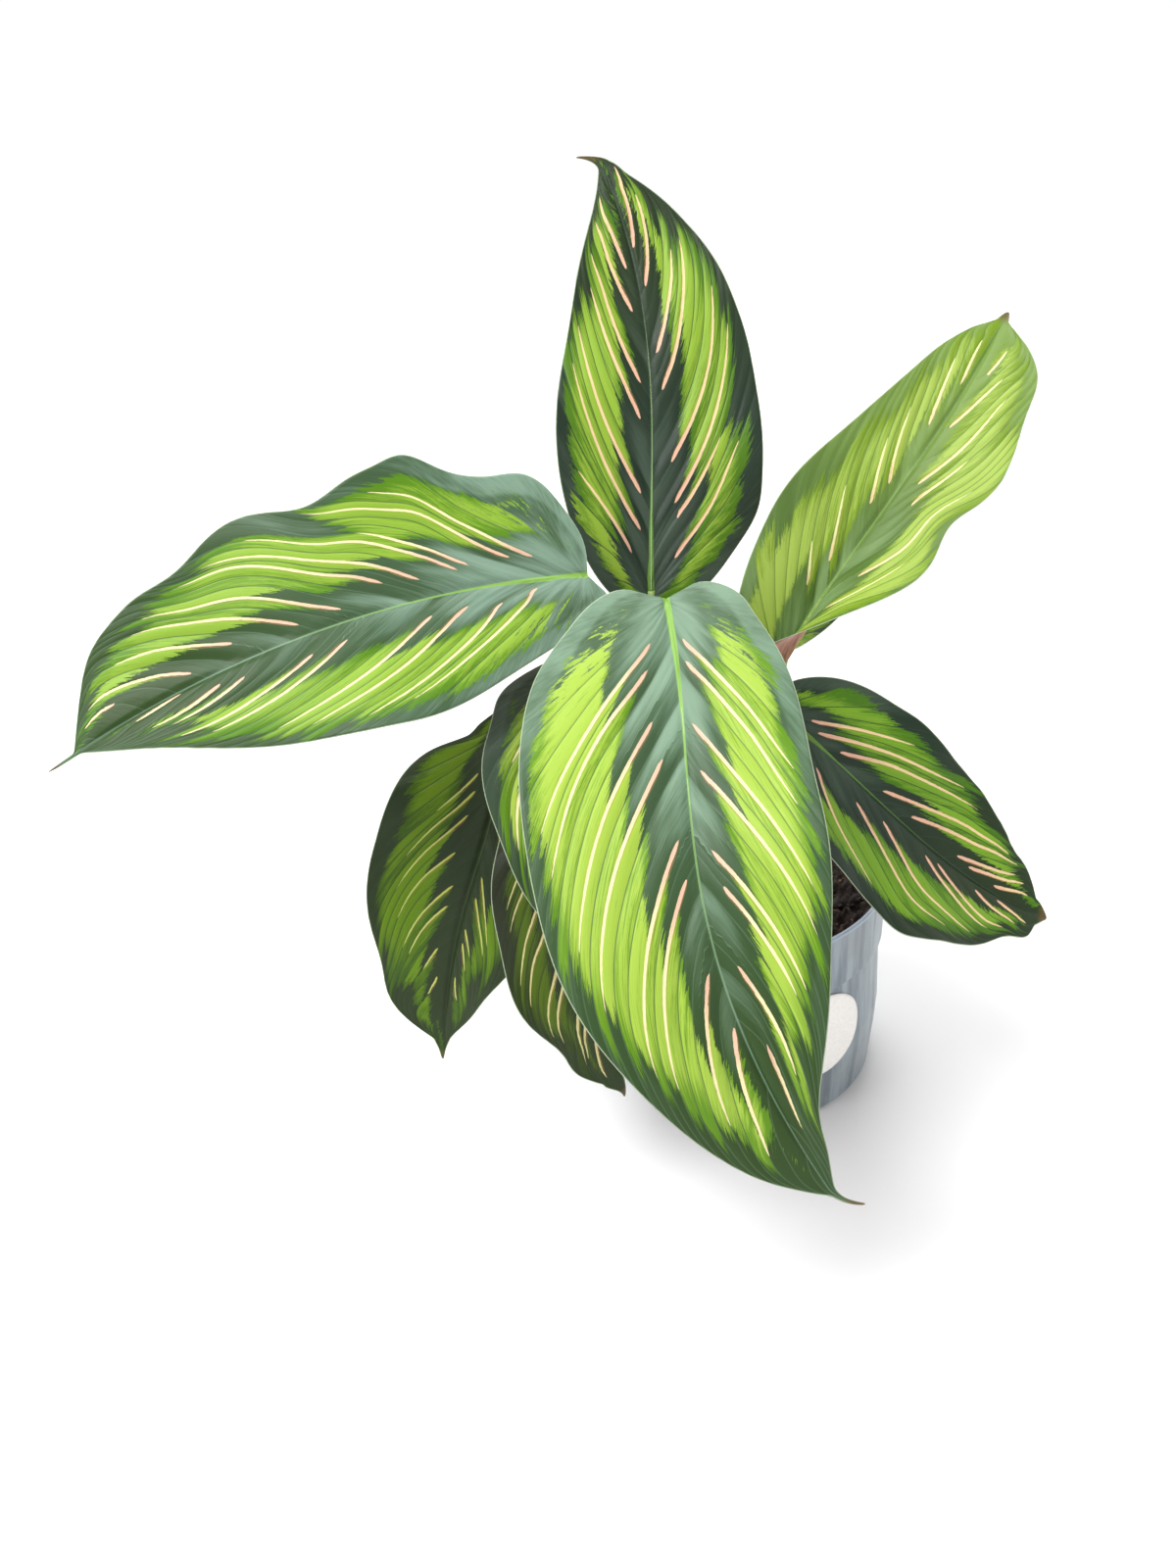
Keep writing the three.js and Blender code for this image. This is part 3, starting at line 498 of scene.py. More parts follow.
# Upper face, in millimetres: how far the band's ends vary from lane to lane, how much three
# noises fray them, the notch at each vein, and where fine lines and stripes fade
INNER_SHIFT = 5.0
OUTER_SHIFT = 7.0
FRAY_STREAKS = 11.0
FRAY_SPECKLE = 6.0
FRAY_MOTTLE = 4.0
NOTCH_REACH = 2.0
INNER_NOTCH = 0.8
OUTER_NOTCH = 1.2
BAND_EDGE = 0.4
VEIN_LINE = (0.36, 0.10)
STRIPE_EDGE = (-0.08, 0.14)
# Painted sheen at the neck: over these millimetres from the neck the band gives way to the sheen painted on
# the ground
NECK_SHEEN = (4.0, 56.0)
SEED_STEP = 7.3
UPPER_GLOSS = 0.40

MARGIN_LINE = (0.42, 0.50, 0.34)
DRY_TIP = (0.10, 0.065, 0.022)
RUST = (0.30, 0.15, 0.06)


def unit(v):
    """Vectors of length 1."""
    return v / np.linalg.norm(v, axis=-1, keepdims=True)


def lift(values):
    """Numbers with one more axis, so that they scale points."""
    return np.asarray(values, float)[..., None]


def clamp01(values):
    return np.clip(values, 0, 1)


def pick_at(points, values):
    """A broken line through (place, value) pairs."""
    places, heights = zip(*points)
    return np.interp(values, places, heights)


def cubic(controls, t):
    """Points on a cubic curve."""
    a, b, c, d = controls
    t = lift(t)
    return (1 - t) ** 3 * a + 3 * (1 - t) ** 2 * t * b + 3 * (1 - t) * t * t * c + t ** 3 * d


class Blade:
    """The surface of one leaf's upper face: along 0 to 1 from neck to tip, across 0 to 1
    from midrib to margin, side -1 or 1 for the left or right half."""

    def __init__(self, leaf):
        self.leaf = leaf
        self.controls = [np.array(p, float) for p in leaf["midrib"]]
        self.steps = np.linspace(0, 1, 401)
        reach = np.linalg.norm(np.diff(cubic(self.controls, self.steps), axis=0), axis=1)
        self.travel = np.concatenate([[0], np.cumsum(reach)])
        self.length = self.travel[-1]
        self.faces = [unit(np.array(f, float)) for f in leaf["face"]]
        self.blade_end = 1 - TAIL_BEYOND * leaf["tail"] / self.length

    def slope(self, t):
        """The midrib's direction and pace."""
        a, b, c, d = self.controls
        t = lift(t)
        return 3 * (1 - t) ** 2 * (b - a) + 6 * (1 - t) * t * (c - b) + 3 * t * t * (d - c)

    def frame(self, along):
        """The midrib's point, direction, upward normal and rightward side."""
        t = np.interp(clamp01(along) * self.length, self.travel, self.steps)
        tangent = unit(self.slope(t))
        first, middle, last = self.faces
        x = lift(along)
        early, late = first + (middle - first) * 2 * x, middle + (last - middle) * (2 * x - 1)
        normal = np.where(x < 0.5, early, late)
        normal = unit(normal - (normal * tangent).sum(-1, keepdims=True) * tangent)
        return cubic(self.controls, t), tangent, normal, np.cross(tangent, normal)

    def width(self, along, side):
        """From the midrib to the margin of one half."""
        leaf, half = self.leaf, 0 if side < 0 else 1
        widest = leaf["widest"][half]
        to_base = clamp01((widest - along) / widest)
        to_tip = clamp01((along - widest) / (self.blade_end - widest))
        share = np.where(
            along < widest,
            np.sqrt(1 - to_base ** 2),
            (1 - to_tip ** leaf["fullness"][half]) ** leaf["taper"][half],
        )
        thinning = clamp01((1 - along) * self.length / leaf["tail"]) * clamp01(along / NECK_TAPER)
        tail = TAIL_HALF_WIDTH * np.sqrt(thinning)
        swells = leaf["swell"][half]
        swell = sum(rise * np.exp(-((along - place) / spread) ** 2) for place, spread, rise in swells)
        ends = np.sqrt(clamp01((1 - along) / SWELL_FADE) * clamp01(along / SWELL_FADE))
        return np.hypot(np.maximum(leaf["half_width"][half] * share + swell * ends, 0), tail)

    def point(self, along, across, side):
        """A place on the folded, curled and waved blade."""
        leaf, half = self.leaf, 0 if side < 0 else 1
        centre, tangent, normal, right = self.frame(along)
        width = self.width(along, side)
        fold_base, fold_tip = leaf["fold"][half]
        curl_base, curl_tip = leaf["curl"][half]
        fold = np.radians(fold_tip + (fold_base - fold_tip) * (1 - along) ** leaf["fold_fade"])
        curl = curl_base + (curl_tip - curl_base) * along
        curl = np.radians(np.where(np.abs(curl) < LEAST_CURL, LEAST_CURL, curl))
        out = width / curl * (np.sin(fold + curl * across) - np.sin(fold))
        height, count, phase_left, phase_right = leaf["wave"]
        phase = phase_left if side < 0 else phase_right
        wave = height * across ** 2 * np.sin(2 * np.pi * (count * along + phase))
        wave = wave * np.sqrt(np.sin(np.pi * clamp01(along)))
        rise = width / curl * (np.cos(fold) - np.cos(fold + curl * across)) + wave
        back = leaf["lobe"][half] * across * clamp01(1 - along / LOBE_REACH) ** 2
        back = back * (1 - np.exp(-along / LOBE_START))
        hook_size, hook_start = leaf["hook"]
        hook = hook_size * clamp01((along - hook_start) / (1 - hook_start)) ** 2
        return centre + lift(side * out + hook) * right + lift(rise) * normal - lift(back) * tangent


def vein_start(along, across):
    """Where on the midrib the side vein starts that passes through a place on the blade."""
    low = np.zeros_like(along)
    high = np.ones_like(along)
    for _ in range(VEIN_ROUNDS):
        start = (low + high) / 2
        reached = start + VEIN_SWEEP * across ** VEIN_BEND * (1 - start) * start ** NECK_CROWDING
        low = np.where(reached < along, start, low)
        high = np.where(reached < along, high, start)
    return (low + high) / 2


def even(start):
    """Starts crowd at the neck; half way across the blade the veins are evenly spaced."""
    start = np.maximum(start, 0)
    return start + MID_SWEEP * (1 - start) * start ** NECK_CROWDING


def smooth_rows(field, rounds):
    """Softens a grid of values from row to row."""
    for _ in range(rounds):
        inner = (field[:-2] + 2 * field[1:-1] + field[2:]) / 4
        field = np.concatenate([field[:1], inner, field[-1:]])
    return field


def steepness(field, points):
    """The slope of a field over a grid of points, per millimetre."""
    p_i, p_j = np.gradient(points, axis=(0, 1))
    f_i, f_j = np.gradient(field)
    a, b, c = (p_i * p_i).sum(-1), (p_i * p_j).sum(-1), (p_j * p_j).sum(-1)
    spread = np.maximum(a * c - b * b, 1e-9)
    return np.sqrt(np.maximum((c * f_i ** 2 - 2 * b * f_i * f_j + a * f_j ** 2) / spread, 1e-12))


def seeded_stripes(seed, pairs, inner, outer):
    """Pairs of stripes for a half that hides behind the others."""
    rng = np.random.default_rng(seed)
    stripes = []
    for pair in range(pairs):
        middle = ((pair + 0.6) / (pairs + 0.3)) ** 1.5 * 0.85
        for shift in (-0.5, 0.5):
            start = max(0.01, middle + shift * (0.035 + 0.03 * middle) + rng.uniform(-0.006, 0.006))
            first = inner + rng.uniform(-0.03, 0.05)
            last = outer * (1 - 0.35 * middle) + rng.uniform(-0.12, 0.04)
            drift = start * rng.uniform(0.9, 1.1)
            stripes.append([(first, start), ((first + last) / 2, start * 1.02), (last, drift)])
    return stripes


def pattern_of(name, side):
    """The stripes, the band and the seed of one half."""
    half = 0 if side < 0 else 1
    seed = sorted(LEAVES).index(name) * 2 + half
    if name in STRIPES:
        stripes = [[(across / 100, start / 100) for across, start in row] for row in STRIPES[name][half]]
    else:
        stripes = seeded_stripes(seed, HIDDEN_PAIRS, *HIDDEN_REACH)
    return stripes, BANDS.get(name, PLAIN_BAND), seed


def lane_fields(blade, name, side, along, across, points):
    """What the pattern needs at each point of one half: its lane and the lane's pace, the
    nearest stripe's half width and tone, how far inside the bright band it lies and how
    far it is from a main side vein, below 0 on the side towards the neck. Side veins and
    stripes run along whole lane numbers."""
    stripes, ((neck_in, neck_out), inset, past, breaks_into_sheen), _ = pattern_of(name, side)
    start = vein_start(along, across)
    place = even(start)
    columns = across[0]
    width = blade.width(along, side)
    span = blade.length
    knots = np.array([even(pick_at(stripe, columns)) for stripe in stripes])
    knots = smooth_rows(knots.T, STRIPE_SMOOTHING).T
    for k in range(1, len(knots)):
        knots[k] = np.maximum(knots[k], knots[k - 1] + LEAST_GAP)
    middle = knots[:, len(columns) * 5 // 8]
    gaps = np.diff(middle) * span
    counts = 1 + np.searchsorted(LANE_GAPS, gaps)
    first = max(1, round(middle[0] * span / NECK_LANE))
    last = max(1, round((1 - middle[-1]) * span / TIP_LANE))
    numbers = first + np.concatenate([[0], np.cumsum(counts)])
    lane = np.empty_like(along)
    for j in range(len(columns)):
        lane[:, j] = np.interp(place[:, j], [0, *knots[:, j], 1.001], [0, *numbers, numbers[-1] + last])
    lane = smooth_rows(lane, 2)
    pace = steepness(lane, points)
    nearest = np.abs(lane[..., None] - numbers).argmin(-1)
    on_stripe = np.abs(lane - numbers[nearest]) < 0.5
    begins = np.array([stripe[0][0] for stripe in stripes])
    ends = np.array([stripe[-1][0] for stripe in stripes])
    tone = (across - begins[nearest]) / (ends - begins)[nearest]
    near_end, far_end = STRIPE_TAPERS
    taper = np.minimum(np.sqrt(clamp01(tone / near_end)), np.sqrt(clamp01((1 - tone) / far_end)))
    half = (1 - STRIPE_NARROWING * clamp01(tone)) * taper
    half = np.where(on_stripe & (tone > 0) & (tone < 1), half, OFF_STRIPE)
    stops = [0, *numbers, numbers[-1] + BAND_END * last]
    band_in = np.interp(lane, stops, [neck_in, *(begins + inset), begins[-1] + inset])
    band_out = np.interp(lane, stops, [neck_out, *(ends + past), 0.1])
    inner = (across - band_in - BAND_SAW * saw_between(numbers, lane)) * width
    outer = (band_out - across) * width
    wide = gaps >= CREASE_GAP
    creases = [*(numbers[:-1] + counts // 2)[wide], NO_CREASE]
    offsets = lane[..., None] - creases
    nearest_crease = np.abs(offsets).argmin(-1)
    crease = np.take_along_axis(offsets, nearest_crease[..., None], -1)[..., 0] / pace
    neck = place * span if breaks_into_sheen else np.full_like(place, NO_NECK_SHEEN)
    return dict(
        lane=lane, pace=pace, half=half, tone=tone, inner=inner, outer=outer,
        start=start, crease=crease, neck=neck,
    )


def saw_between(numbers, lane):
    """Rises from 0 at each stripe to 1 at the next one towards the tip."""
    bounds = np.concatenate([[-1], numbers, [numbers[-1] + 3]])
    index = np.clip(np.searchsorted(bounds, lane.ravel()).reshape(lane.shape) - 1, 0, len(bounds) - 2)
    return clamp01((lane - bounds[index]) / (bounds[index + 1] - bounds[index]))


def relief_of(fields, across):
    """The blade dips to a crease along each main side vein and bulges between finer ones."""
    valley = 1 - np.exp(-np.abs(fields["crease"]) / CREASE_REACH)
    near_rib = 0.8 * np.exp(-((across - 0.12) / 0.4) ** 2) + 0.2
    bulge = np.sin(np.pi * fields["lane"]) ** 2
    return (PLEAT * (valley - 0.6) * near_rib + BULGE * (bulge - 0.5)) * clamp01(across / 0.06)


def half_grid(blade, name, side):
    """The upper and lower face of one half as grids of points, and the pattern's values."""
    rows = np.linspace(0, 1, BLADE_ROWS + 1)
    start = (1 - (1 - rows) ** 1.25) ** 2.5
    columns = np.linspace(0, 1, BLADE_COLUMNS + 1) ** COLUMN_CROWDING
    start, across = np.meshgrid(start, columns, indexing="ij")
    along = start + ROW_SWEEP * across ** ROW_BEND * (1 - start) * start ** ROW_CROWDING
    flat = blade.point(along, across, side)
    width = blade.width(along, side)
    fields = lane_fields(blade, name, side, along, across, flat)
    p_i, p_j = np.gradient(flat, axis=(0, 1))
    normal = np.cross(p_j, p_i) * side
    length = np.linalg.norm(normal, axis=-1, keepdims=True)
    normal = np.where(length > 1e-6, normal / np.maximum(length, 1e-6), blade.frame(along)[2])
    raised = smooth_rows(relief_of(fields, across), 1) * clamp01(width / 25)
    distance = across * width
    groove = GROOVE_DEPTH * np.exp(-(distance / GROOVE_HALF_WIDTH) ** 2) * (1 - 0.7 * along)
    thread = THREAD_HEIGHT * np.exp(-(distance / THREAD_HALF_WIDTH) ** 2) * (1 - 0.6 * along)
    upper = flat + lift(raised - groove + thread) * normal
    rib = RIB_DEPTH * (1 - 0.85 * along) * np.exp(-(distance / RIB_HALF_WIDTH) ** 2) * clamp01(width / 5)
    thickness = BLADE_THICKNESS * (1 - 0.55 * across ** 10)
    lower = flat + lift(raised - thickness - rib) * normal
    seed = pattern_of(name, side)[2]
    grain_across = even(fields["start"]) * blade.length
    attributes = dict(
        lane=np.stack([fields["lane"] + LANE_BLOCK * seed, fields["pace"], fields["half"]], -1),
        band=np.stack([fields["inner"], fields["outer"], fields["tone"]], -1),
        place=np.stack([distance, (1 - across) * width, along], -1),
        grain=np.stack([grain_across, across * width, fields["neck"]], -1),
        crease=lift(fields["crease"]) * np.array([1.0, 0, 0]),
    )
    return upper, lower, attributes


def leaf_mesh(name, leaf):
    """Both faces of the blade, closed round the margin, with the stalk let into its neck."""
    blade = Blade(leaf)
    halves = {side: half_grid(blade, name, side) for side in (-1, 1)}
    index = np.arange((BLADE_ROWS + 1) * (BLADE_COLUMNS + 1)).reshape(BLADE_ROWS + 1, -1)
    points, faces, slots = [], [], []
    values = {key: [] for key in halves[1][2]}
    for sheet, (side, lower) in enumerate(((-1, 0), (-1, 1), (1, 0), (1, 1))):
        points.append(halves[side][lower].reshape(-1, 3))
        for key, grid in halves[side][2].items():
            values[key].append(grid.reshape(-1, 3))
        grid = index + sheet * index.size
        a, b, c, d = grid[:-1, :-1], grid[:-1, 1:], grid[1:, 1:], grid[1:, :-1]
        forward = (side > 0) != bool(lower)
        faces.append(np.stack([a, b, c, d] if forward else [a, d, c, b], -1).reshape(-1, 4))
        slots.append(np.full(len(faces[-1]), lower))
    for sheet, flip in ((0, False), (2, True)):
        top = index[:, -1] + sheet * index.size
        under = top + index.size
        quad = [top[:-1], top[1:], under[1:], under[:-1]]
        faces.append(np.stack(quad[::-1] if flip else quad, -1))
        slots.append(np.zeros(BLADE_ROWS, int))
    stalk_points, stalk_faces, stalk_values = stalk_tube(blade, leaf)
    points.append(stalk_points)
    faces.append(stalk_faces + 4 * index.size)
    slots.append(np.full(len(stalk_faces), 2))
    mesh = make_mesh(name, np.concatenate(points), np.concatenate(faces), np.concatenate(slots))
    for key, parts in values.items():
        attribute = mesh.attributes.new(key, "FLOAT_VECTOR", "POINT")
        vectors = np.concatenate([*parts, stalk_values]).astype(np.float32)
        attribute.data.foreach_set("vector", vectors.ravel())
    return mesh


def make_mesh(name, points, quads, slots=None):
    """A smooth-shaded mesh in metres from points in millimetres."""
    mesh = bpy.data.meshes.new(name)
    quads = np.asarray(quads, int)
    mesh.vertices.add(len(points))
    mesh.vertices.foreach_set("co", (np.asarray(points) * MM).astype(np.float32).ravel())
    mesh.loops.add(quads.size)
    mesh.loops.foreach_set("vertex_index", quads.astype(np.int32).ravel())
    mesh.polygons.add(len(quads))
    mesh.polygons.foreach_set("loop_start", np.arange(0, quads.size, quads.shape[1], dtype=np.int32))
    if slots is not None:
        mesh.polygons.foreach_set("material_index", np.asarray(slots, np.int32))
    mesh.polygons.foreach_set("use_smooth", np.ones(len(quads), bool))
    mesh.update(calc_edges=True)
    mesh.validate()
    return mesh


def between_rings(index, outward=True):
    """Quads between neighbouring rings of points, each ring closed on itself."""
    after = np.roll(index, -1, axis=1)
    a, b, c, d = index[:-1], after[:-1], after[1:], index[1:]
    return np.stack([a, b, c, d] if outward else [a, d, c, b], -1).reshape(-1, 4)


def end_cap(ring, flip=False):
    """Quads from side to side that close a ring of points."""
    sides = len(ring)
    quads = [[ring[k - 1], ring[k], ring[sides - 1 - k], ring[sides - k]] for k in range(1, sides // 2)]
    return np.array([quad[::-1] for quad in quads] if flip else quads)


def stalk_line(blade, leaf):
    """Centre line of the stalk: straight out of the mix, over to the neck, a bend in the knee."""
    _, tangent, _, _ = blade.frame(np.array(0.0))
    centre, _, normal, _ = blade.frame(np.array(0.02))
    root = np.array([*leaf["root"], SOIL_TOP - STALK_DEPTH], float)
    end = centre - KNEE_SINK * normal
    rise = end[2] - root[2]
    bend = unit(0.5 * tangent + np.array([0, 0, 0.8]))
    return root, root + np.array([0, 0, rise * 0.4]), end - rise * 0.3 * bend, end


def stalk_tube(blade, leaf):
    """The stalk as a tube, with the values that its skin reads: angle, share and travel."""
    sides, steps = STALK_SIDES, STALK_STEPS
    line = cubic(stalk_line(blade, leaf), np.linspace(0, 1, steps + 1))
    tangent = unit(np.gradient(line, axis=0))
    travel = np.concatenate([[0], np.cumsum(np.linalg.norm(np.diff(line, axis=0), axis=1))])
    share = travel / travel[-1]
    radius = SHEATH_RADIUS + (STALK_RADIUS - SHEATH_RADIUS) * clamp01(share / SHEATH_END)
    knee = np.sin(np.pi * clamp01((share - KNEE_START) / (1 - KNEE_START)))
    radius = radius + (KNEE_RADIUS - STALK_RADIUS) * knee
    reference = np.array([1.0, 0.2, 0.0])
    normal = unit(reference - (tangent * reference).sum(-1, keepdims=True) * tangent)
    binormal = np.cross(tangent, normal)
    angle = 2 * np.pi * np.arange(sides) / sides
    # The sheath wraps the stalk with its open edges on one side, which leaves a groove
    fade = clamp01(1 - share / SHEATH_END)[:, None] ** 0.5
    groove = 1 - SHEATH_GROOVE * fade * np.exp(-((angle - np.pi) / SHEATH_OPENING) ** 2)
    sideways = np.cos(angle)[None, :, None] * normal[:, None, :]
    upward = np.sin(angle)[None, :, None] * binormal[:, None, :]
    ring = (radius[:, None] * groove)[..., None] * (sideways + upward)
    points = (line[:, None, :] + ring).reshape(-1, 3)
    values = np.stack(np.broadcast_arrays(angle[None, :], share[:, None], travel[:, None]), -1).reshape(-1, 3)
    index = np.arange((steps + 1) * sides).reshape(steps + 1, sides)
    faces = np.concatenate([between_rings(index), end_cap(index[0], flip=True), end_cap(index[-1])])
    return points, faces, values


class Signal:
    """A number or colour that varies over a surface, kept as a node socket."""

    def __init__(self, tree, socket):
        self.tree = tree
        self.socket = socket

    def math(self, operation, *others):
        node = self.tree.nodes.new("ShaderNodeMath")
        node.operation = operation
        for slot, value in zip(node.inputs, (self, *others)):
            plug(self.tree, value, slot)
        return Signal(self.tree, node.outputs[0])

    def __add__(self, other):
        return self.math("ADD", other)

    __radd__ = __add__

    def __sub__(self, other):
        return self.math("SUBTRACT", other)

    def __rsub__(self, other):
        return (self * -1).math("ADD", other)

    def __mul__(self, other):
        return self.math("MULTIPLY", other)

    __rmul__ = __mul__

    def __truediv__(self, other):
        return self.math("DIVIDE", other)

    def between(self, low, high):
        """0 below low, 1 above high and a smooth rise between; low may be the larger."""
        node = self.tree.nodes.new("ShaderNodeMapRange")
        node.interpolation_type = "SMOOTHSTEP"
        plug(self.tree, self, node.inputs[0])
        plug(self.tree, low, node.inputs[1])
        plug(self.tree, high, node.inputs[2])
        return Signal(self.tree, node.outputs[0])


def plug(tree, value, slot):
    """Links a signal to an input, or sets a plain value there."""
    if isinstance(value, Signal):
        tree.links.new(value.socket, slot)
    elif isinstance(value, (tuple, list)):
        slot.default_value = (*value, 1.0) if len(value) == 3 and len(slot.default_value) == 4 else value
    else:
        slot.default_value = value


class Paint:
    """A material built from signals."""

    def __init__(self, name):
        self.material = bpy.data.materials.new(name)
        self.material.use_nodes = True
        self.tree = self.material.node_tree
        self.shader = self.tree.nodes["Principled BSDF"]

    def attribute(self, name):
        node = self.tree.nodes.new("ShaderNodeAttribute")
        node.attribute_name = name
        return Signal(self.tree, node.outputs["Vector"])

    def split(self, vector):
        node = self.tree.nodes.new("ShaderNodeSeparateXYZ")
        plug(self.tree, vector, node.inputs[0])
        return [Signal(self.tree, output) for output in node.outputs]

    def join(self, x, y, z):
        node = self.tree.nodes.new("ShaderNodeCombineXYZ")
        for value, slot in zip((x, y, z), node.inputs):
            plug(self.tree, value, slot)
        return Signal(self.tree, node.outputs[0])

    def place(self):
        node = self.tree.nodes.new("ShaderNodeTexCoord")
        return Signal(self.tree, node.outputs["Object"])

    def noise(self, vector, scale, detail=2.0, roughness=0.5):
        node = self.tree.nodes.new("ShaderNodeTexNoise")
        plug(self.tree, vector, node.inputs["Vector"])
        node.inputs["Scale"].default_value = scale
        node.inputs["Detail"].default_value = detail
        node.inputs["Roughness"].default_value = roughness
        return Signal(self.tree, node.outputs[0])

    def along_veins(self, stretch, scale, detail=2.0, roughness=0.5):
        """Noise drawn out along the side veins of a blade, another one for each half."""
        across, outward, _ = self.split(self.attribute("grain"))
        lane, _, _ = self.split(self.attribute("lane"))
        draw = (lane * (1 / LANE_BLOCK)).math("FLOOR") * SEED_STEP
        return self.noise(self.join(across, outward * stretch, draw), scale, detail, roughness)

    def random(self, number):
        node = self.tree.nodes.new("ShaderNodeTexWhiteNoise")
        node.noise_dimensions = "1D"
        plug(self.tree, number, node.inputs["W"])
        return Signal(self.tree, node.outputs[0])

    def mix(self, first, second, factor):
        node = self.tree.nodes.new("ShaderNodeMix")
        node.data_type = "RGBA"
        plug(self.tree, factor, node.inputs[0])
        plug(self.tree, first, node.inputs[6])
        plug(self.tree, second, node.inputs[7])
        return Signal(self.tree, node.outputs[2])

    def finish(self, colour, roughness, height=None, depth=0.2, **values):
        plug(self.tree, colour, self.shader.inputs["Base Color"])
        plug(self.tree, roughness, self.shader.inputs["Roughness"])
        for name, value in values.items():
            self.shader.inputs[name.replace("_", " ")].default_value = value
        if height is not None:
            bump = self.tree.nodes.new("ShaderNodeBump")
            bump.inputs["Distance"].default_value = depth * MM
            plug(self.tree, height, bump.inputs["Height"])
            self.tree.links.new(bump.outputs[0], self.shader.inputs["Normal"])
        return self.material


def upper_face(name, palette):
    """Ground with its painted sheen and painted shade, bright band with ragged lane ends, stripes, midrib,
    margin line and dry tip.
    """
    paint = Paint(name + "_upper")
    lane, pace, half = paint.split(paint.attribute("lane"))
    inner, outer, tone = paint.split(paint.attribute("band"))
    distance, margin, along = paint.split(paint.attribute("place"))
    _, _, neck = paint.split(paint.attribute("grain"))
    crease, _, _ = paint.split(paint.attribute("crease"))

    streaks = paint.along_veins(0.12, 1.1, 3.0, 0.6)
    speckle = paint.along_veins(0.4, 2.4, 3.0, 0.65)
    mottle = paint.along_veins(0.22, 0.42, 3.0, 0.65)
    cloud = paint.along_veins(0.6, 0.09)
    pores = paint.along_veins(1.0, 3.2, 1.0)
    streaked, speckled, mottled = streaks - 0.5, speckle - 0.5, mottle - 0.5
    gate = lane.math("FLOOR")
    vein = (lane + 0.5).math("FLOOR")
    gate_draw = paint.random(gate)
    end_draw = paint.random(gate + 0.37)
    aside = (lane - vein) / pace
    off_vein = aside.math("ABSOLUTE")

    # The band, frayed at its ends and giving way to the painted sheen towards the neck, with a mottled
    # break-up
    tooth = off_vein.between(NOTCH_REACH, 0.0)
    ragged = streaked * FRAY_STREAKS + speckled * FRAY_SPECKLE + mottled * FRAY_MOTTLE
    inside = inner + (gate_draw - 0.5) * INNER_SHIFT - tooth * INNER_NOTCH + ragged
    outside = outer + (end_draw - 0.5) * OUTER_SHIFT - tooth * OUTER_NOTCH + ragged
    bright = inside.between(-BAND_EDGE, BAND_EDGE) * outside.between(-BAND_EDGE, BAND_EDGE)
    neck_sheen_breakup = neck.between(*NECK_SHEEN) * 1.3 + mottled * 2.6 + speckled * 0.8
    bright = bright * neck_sheen_breakup.between(0.42, 0.62)
    line = (off_vein + speckled * 0.25).between(*VEIN_LINE)

    # The ground: a painted sheen, strongest near the neck and the midrib, painted shade next to the
    # band's inner edge, and at each crease painted light on its tip side and painted shade on its neck side
    sheen_and_shade = cloud.between(0.3, 0.75) * 0.4 + streaked * 0.7 + along.between(0.5, 0.0) * 0.8 - 0.2
    sheen_and_shade = sheen_and_shade + distance.between(16.0, 1.0) * 0.28
    sheen_and_shade = sheen_and_shade - inner.between(-9.0, -0.5) * outer.between(0.0, 3.0) * 0.35
    sheen_and_shade = sheen_and_shade + crease.between(-0.5, 1.5) * crease.between(10.0, 2.0) * 0.36
    sheen_and_shade = sheen_and_shade - crease.between(-9.0, -1.0) * crease.between(0.5, -0.5) * 0.42
    ground = paint.mix(palette["ground"], palette["painted_sheen"], sheen_and_shade.between(0.0, 1.0))
    ground = paint.mix(ground, palette["tip"], along.between(0.30, 0.84) * 0.9)
    # Fine vein lines a little paler, in the painted sheen's colour
    ground = paint.mix(ground, palette["painted_sheen"], line * 0.18)
    tint = gate_draw * 0.85 + streaked * 1.6 + mottled * 1.6 + speckled * 0.8
    tint = tint + outer.between(9.0, 0.0) * 0.7 + inner.between(4.0, 0.0) * 0.4 - 0.28
    band = paint.mix(palette["band"], palette["deep"], tint.between(0.0, 1.0))
    band = paint.mix(band, palette["ground"], line * 0.7)
    colour = paint.mix(ground, band, bright)

    # The stripes, with a rusty line along one side near the midrib
    marked = half.between(0.0, 0.1)
    rusty = (aside - half - 0.1).math("ABSOLUTE").between(0.3, 0.05) * tone.between(0.8, 0.3)
    colour = paint.mix(colour, RUST, rusty * marked * 0.55)
    reach = half * palette["stripe"] + speckled * 0.5 + streaked * 0.5 - off_vein
    stripe_tone = (tone + streaked * 0.35).between(0.08, 0.42)
    stripe_colour = paint.mix(palette["pink"], palette["cream"], stripe_tone)
    colour = paint.mix(colour, stripe_colour, reach.between(*STRIPE_EDGE))

    # Midrib, margin and tip
    rib = (distance - (along.between(0.3, -0.1) * 1.3 + 0.38)).between(0.15, -0.2)
    # Further out the midrib takes the painted sheen's colour
    rib_colour = paint.mix(palette["rib"], palette["painted_sheen"], along.between(0.2, 0.7))
    colour = paint.mix(colour, rib_colour, rib * (1.0 - along * 0.45))
    edge = (margin + speckled * 0.3).between(0.5, 0.2)
    colour = paint.mix(colour, MARGIN_LINE, edge * 0.75)
    colour = paint.mix(colour, DRY_TIP, along.between(0.965, 0.99) * 0.85)

    height = off_vein.between(1.2, 0.0) * (bright * -0.5 - 0.3) + streaks * 0.6 + pores * 0.15
    height = height + reach.between(-0.1, 0.3) * 0.2
    gloss = UPPER_GLOSS + (cloud - 0.5) * 0.12 + bright * 0.04 + streaked * 0.08
    return paint.finish(colour, gloss, height, 0.18, Specular_IOR_Level=0.22)


